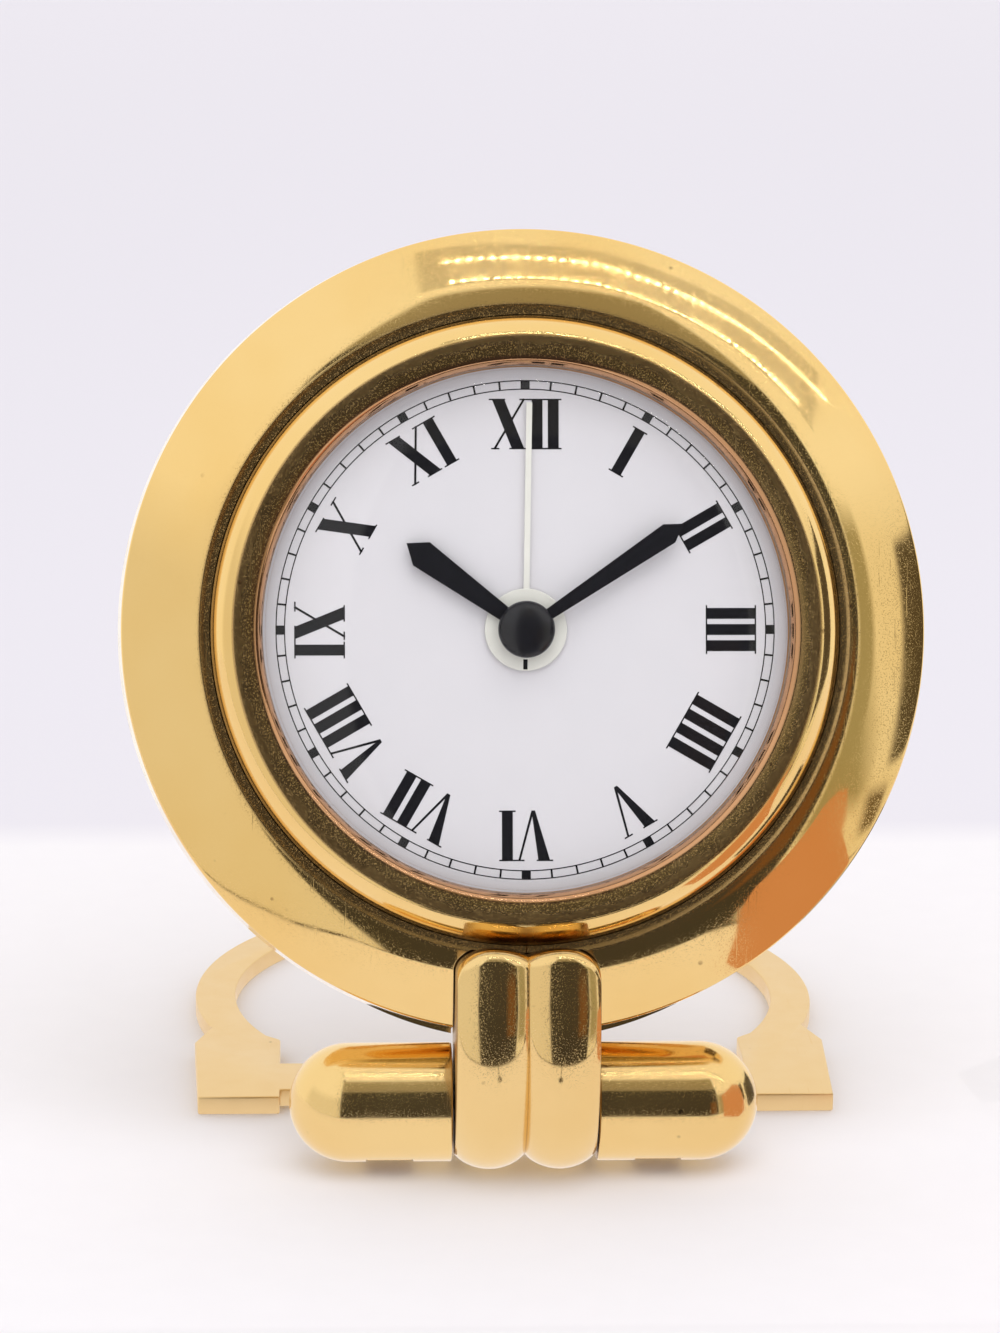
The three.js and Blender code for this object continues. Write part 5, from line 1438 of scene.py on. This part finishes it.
def patch(under, azimuths, elevations, soft, colour, lean=0.0):
    """A soft-edged patch of another colour in the surroundings, its sides leaning over with height."""
    across = sums(tree, "SUBTRACT", azimuth, sums(tree, "MULTIPLY", elevation, lean))
    mask = sums(tree, "MULTIPLY", band(across, *azimuths, soft), band(elevation, *elevations, soft))
    return mix(tree, mask, under, (*colour, 1))


sky = patch((1.08, 1.06, 1.03, 1), (-90, 0), (-90, 25), 12, (0.88, 0.85, 0.8))
sky = patch(sky, (0, 90), (-90, 25), 12, (0.95, 0.92, 0.86))
sky = patch(sky, (37, 54), (-12, 25), 4, (0.42, 0.4, 0.28))
sky = patch(sky, (-17, 35), (38, 60), 4, (0.36, 0.33, 0.25))
sky = patch(sky, (-17, 35), (-95, 39), 1.5, (0.065, 0.06, 0.055))
sky = patch(sky, (20, 31), (-8, 14), 3, (0.2, 0.1, 0.045))
sky = patch(sky, (60.6, 98), (-8, 19.5), 1.5, (0.1, 0.085, 0.07), 0.22)
sky = patch(sky, (55, 60), (-17, -11), 2, (0.2, 0.16, 0.12))
path = tree.nodes.new("ShaderNodeLightPath")
light = mix(tree, path.outputs["Is Glossy Ray"], (1.03, 1.02, 1.03, 1), sky)
light = mix(tree, path.outputs["Is Camera Ray"], light, (0.84, 0.815, 0.875, 1))
background = add(tree, "ShaderNodeBackground", {"Color": light, "Strength": 1.0})
output = tree.nodes.new("ShaderNodeOutputWorld")
tree.links.new(background.outputs[0], output.inputs["Surface"])


def glow(name, colour, strength):
    """A plain light of one colour for a stage object."""
    material, tree, bsdf, coord = shader(name)
    bsdf.inputs["Base Color"].default_value = (0, 0, 0, 1)
    bsdf.inputs["Specular IOR Level"].default_value = 0
    bsdf.inputs["Emission Color"].default_value = (*colour, 1)
    bsdf.inputs["Emission Strength"].default_value = strength
    return material


def lamp_row(name, stops, pitch, size, material):
    """Small lamps at even steps in x along a line through the stops, on the tent's ceiling."""
    verts, faces = [], []
    for lamp in range(int((stops[-1][0] - stops[0][0]) / pitch) + 1):
        x = stops[0][0] + lamp * pitch
        (x0, y0), (x1, y1) = next(pair for pair in zip(stops, stops[1:]) if x <= pair[1][0] + 1e-6)
        y = y0 + (y1 - y0) * (x - x0) / (x1 - x0)
        base = len(verts)
        corners = ((-1, -1), (1, -1), (1, 1), (-1, 1))
        verts += [(x + dx * size / 2, y + dy * size / 2, CEILING) for dx, dy in corners]
        faces.append((base, base + 3, base + 2, base + 1))
    only_reflected(stage_object(name, (verts, faces), material))


# Two rows of lamps on a panel overhead
CEILING = 1000.0
FRONT_ROW = [(-118, -368), (220, -368), (624, -455), (962, -590)]
REAR_ROW = [(-127, -284), (220, -293), (643, -370), (865, -427), (1070, -480)]
lamp_glow = glow("lamp_glow", (1.0, 0.98, 0.95), 34.0)
LAMP_PITCH, LAMP_SIZE = 26, 7
lamp_row("front_lamps", FRONT_ROW, LAMP_PITCH, LAMP_SIZE, lamp_glow)
lamp_row("rear_lamps", REAR_ROW, LAMP_PITCH, LAMP_SIZE, lamp_glow)
panel_glow = glow("panel_glow", (0.66, 0.64, 0.6), 1.0)
panel_edge = [
    (-200, -220), (240, -235), (680, -300), (1000, -370), (1120, -750),
    (960, -640), (620, -500), (220, -410), (-200, -410),
]
only_reflected(stage_object("lamp_panel", slab(panel_edge, CEILING + 20, CEILING + 30), panel_glow))

# Something warm and low beside the clock, mirrored in the lower right of the gold
warm_edge = [(31, -48), (80, -88), (94, -82), (72, -67), (60, -55), (46, -40), (38, -30), (31, -34)]
warm_glow = glow("warm_glow", (0.79, 0.4, 0.24), 0.9)
only_reflected(stage_object("warm_block", slab(warm_edge, 0, 16), warm_glow))

# A dark thing beside the bar's right end, and the shadow line along the paper's front edge
dark_glow = glow("dark_glow", (0.1, 0.09, 0.08), 1.0)
dark_edge = [(40, -23), (60, -20), (50, 4), (38, -8)]
only_reflected(stage_object("dark_block", slab(dark_edge, 0, 13), dark_glow))
only_reflected(stage_object("paper_edge", block(-400, 240, -61.8, -61, -0.5, 0.2), dark_glow))
drip = merge(drum(1.2, 0.1, 0.3, 1.5, -52), block(1.3, 1.7, -61, -52, 0.1, 0.3))
only_reflected(stage_object("spot_on_paper", drip, dark_glow))


def area(name, place, aim, width, height, power):
    """A soft lamp that casts light and never shows in a reflection."""
    lamp = bpy.data.lights.new(name, "AREA")
    lamp.shape = "RECTANGLE"
    lamp.size, lamp.size_y = width, height
    lamp.energy = power
    obj = bpy.data.objects.new(name, lamp)
    bpy.context.scene.collection.objects.link(obj)
    obj.location = place
    obj.rotation_euler = (Vector(aim) - Vector(place)).to_track_quat("-Z", "Y").to_euler()
    obj.visible_glossy = False


area("top_light", (0.07, -0.22, 0.55), (0, 0, 0.04), 0.5, 0.4, 1.05)

bpy.context.scene.view_settings.view_transform = "Standard"
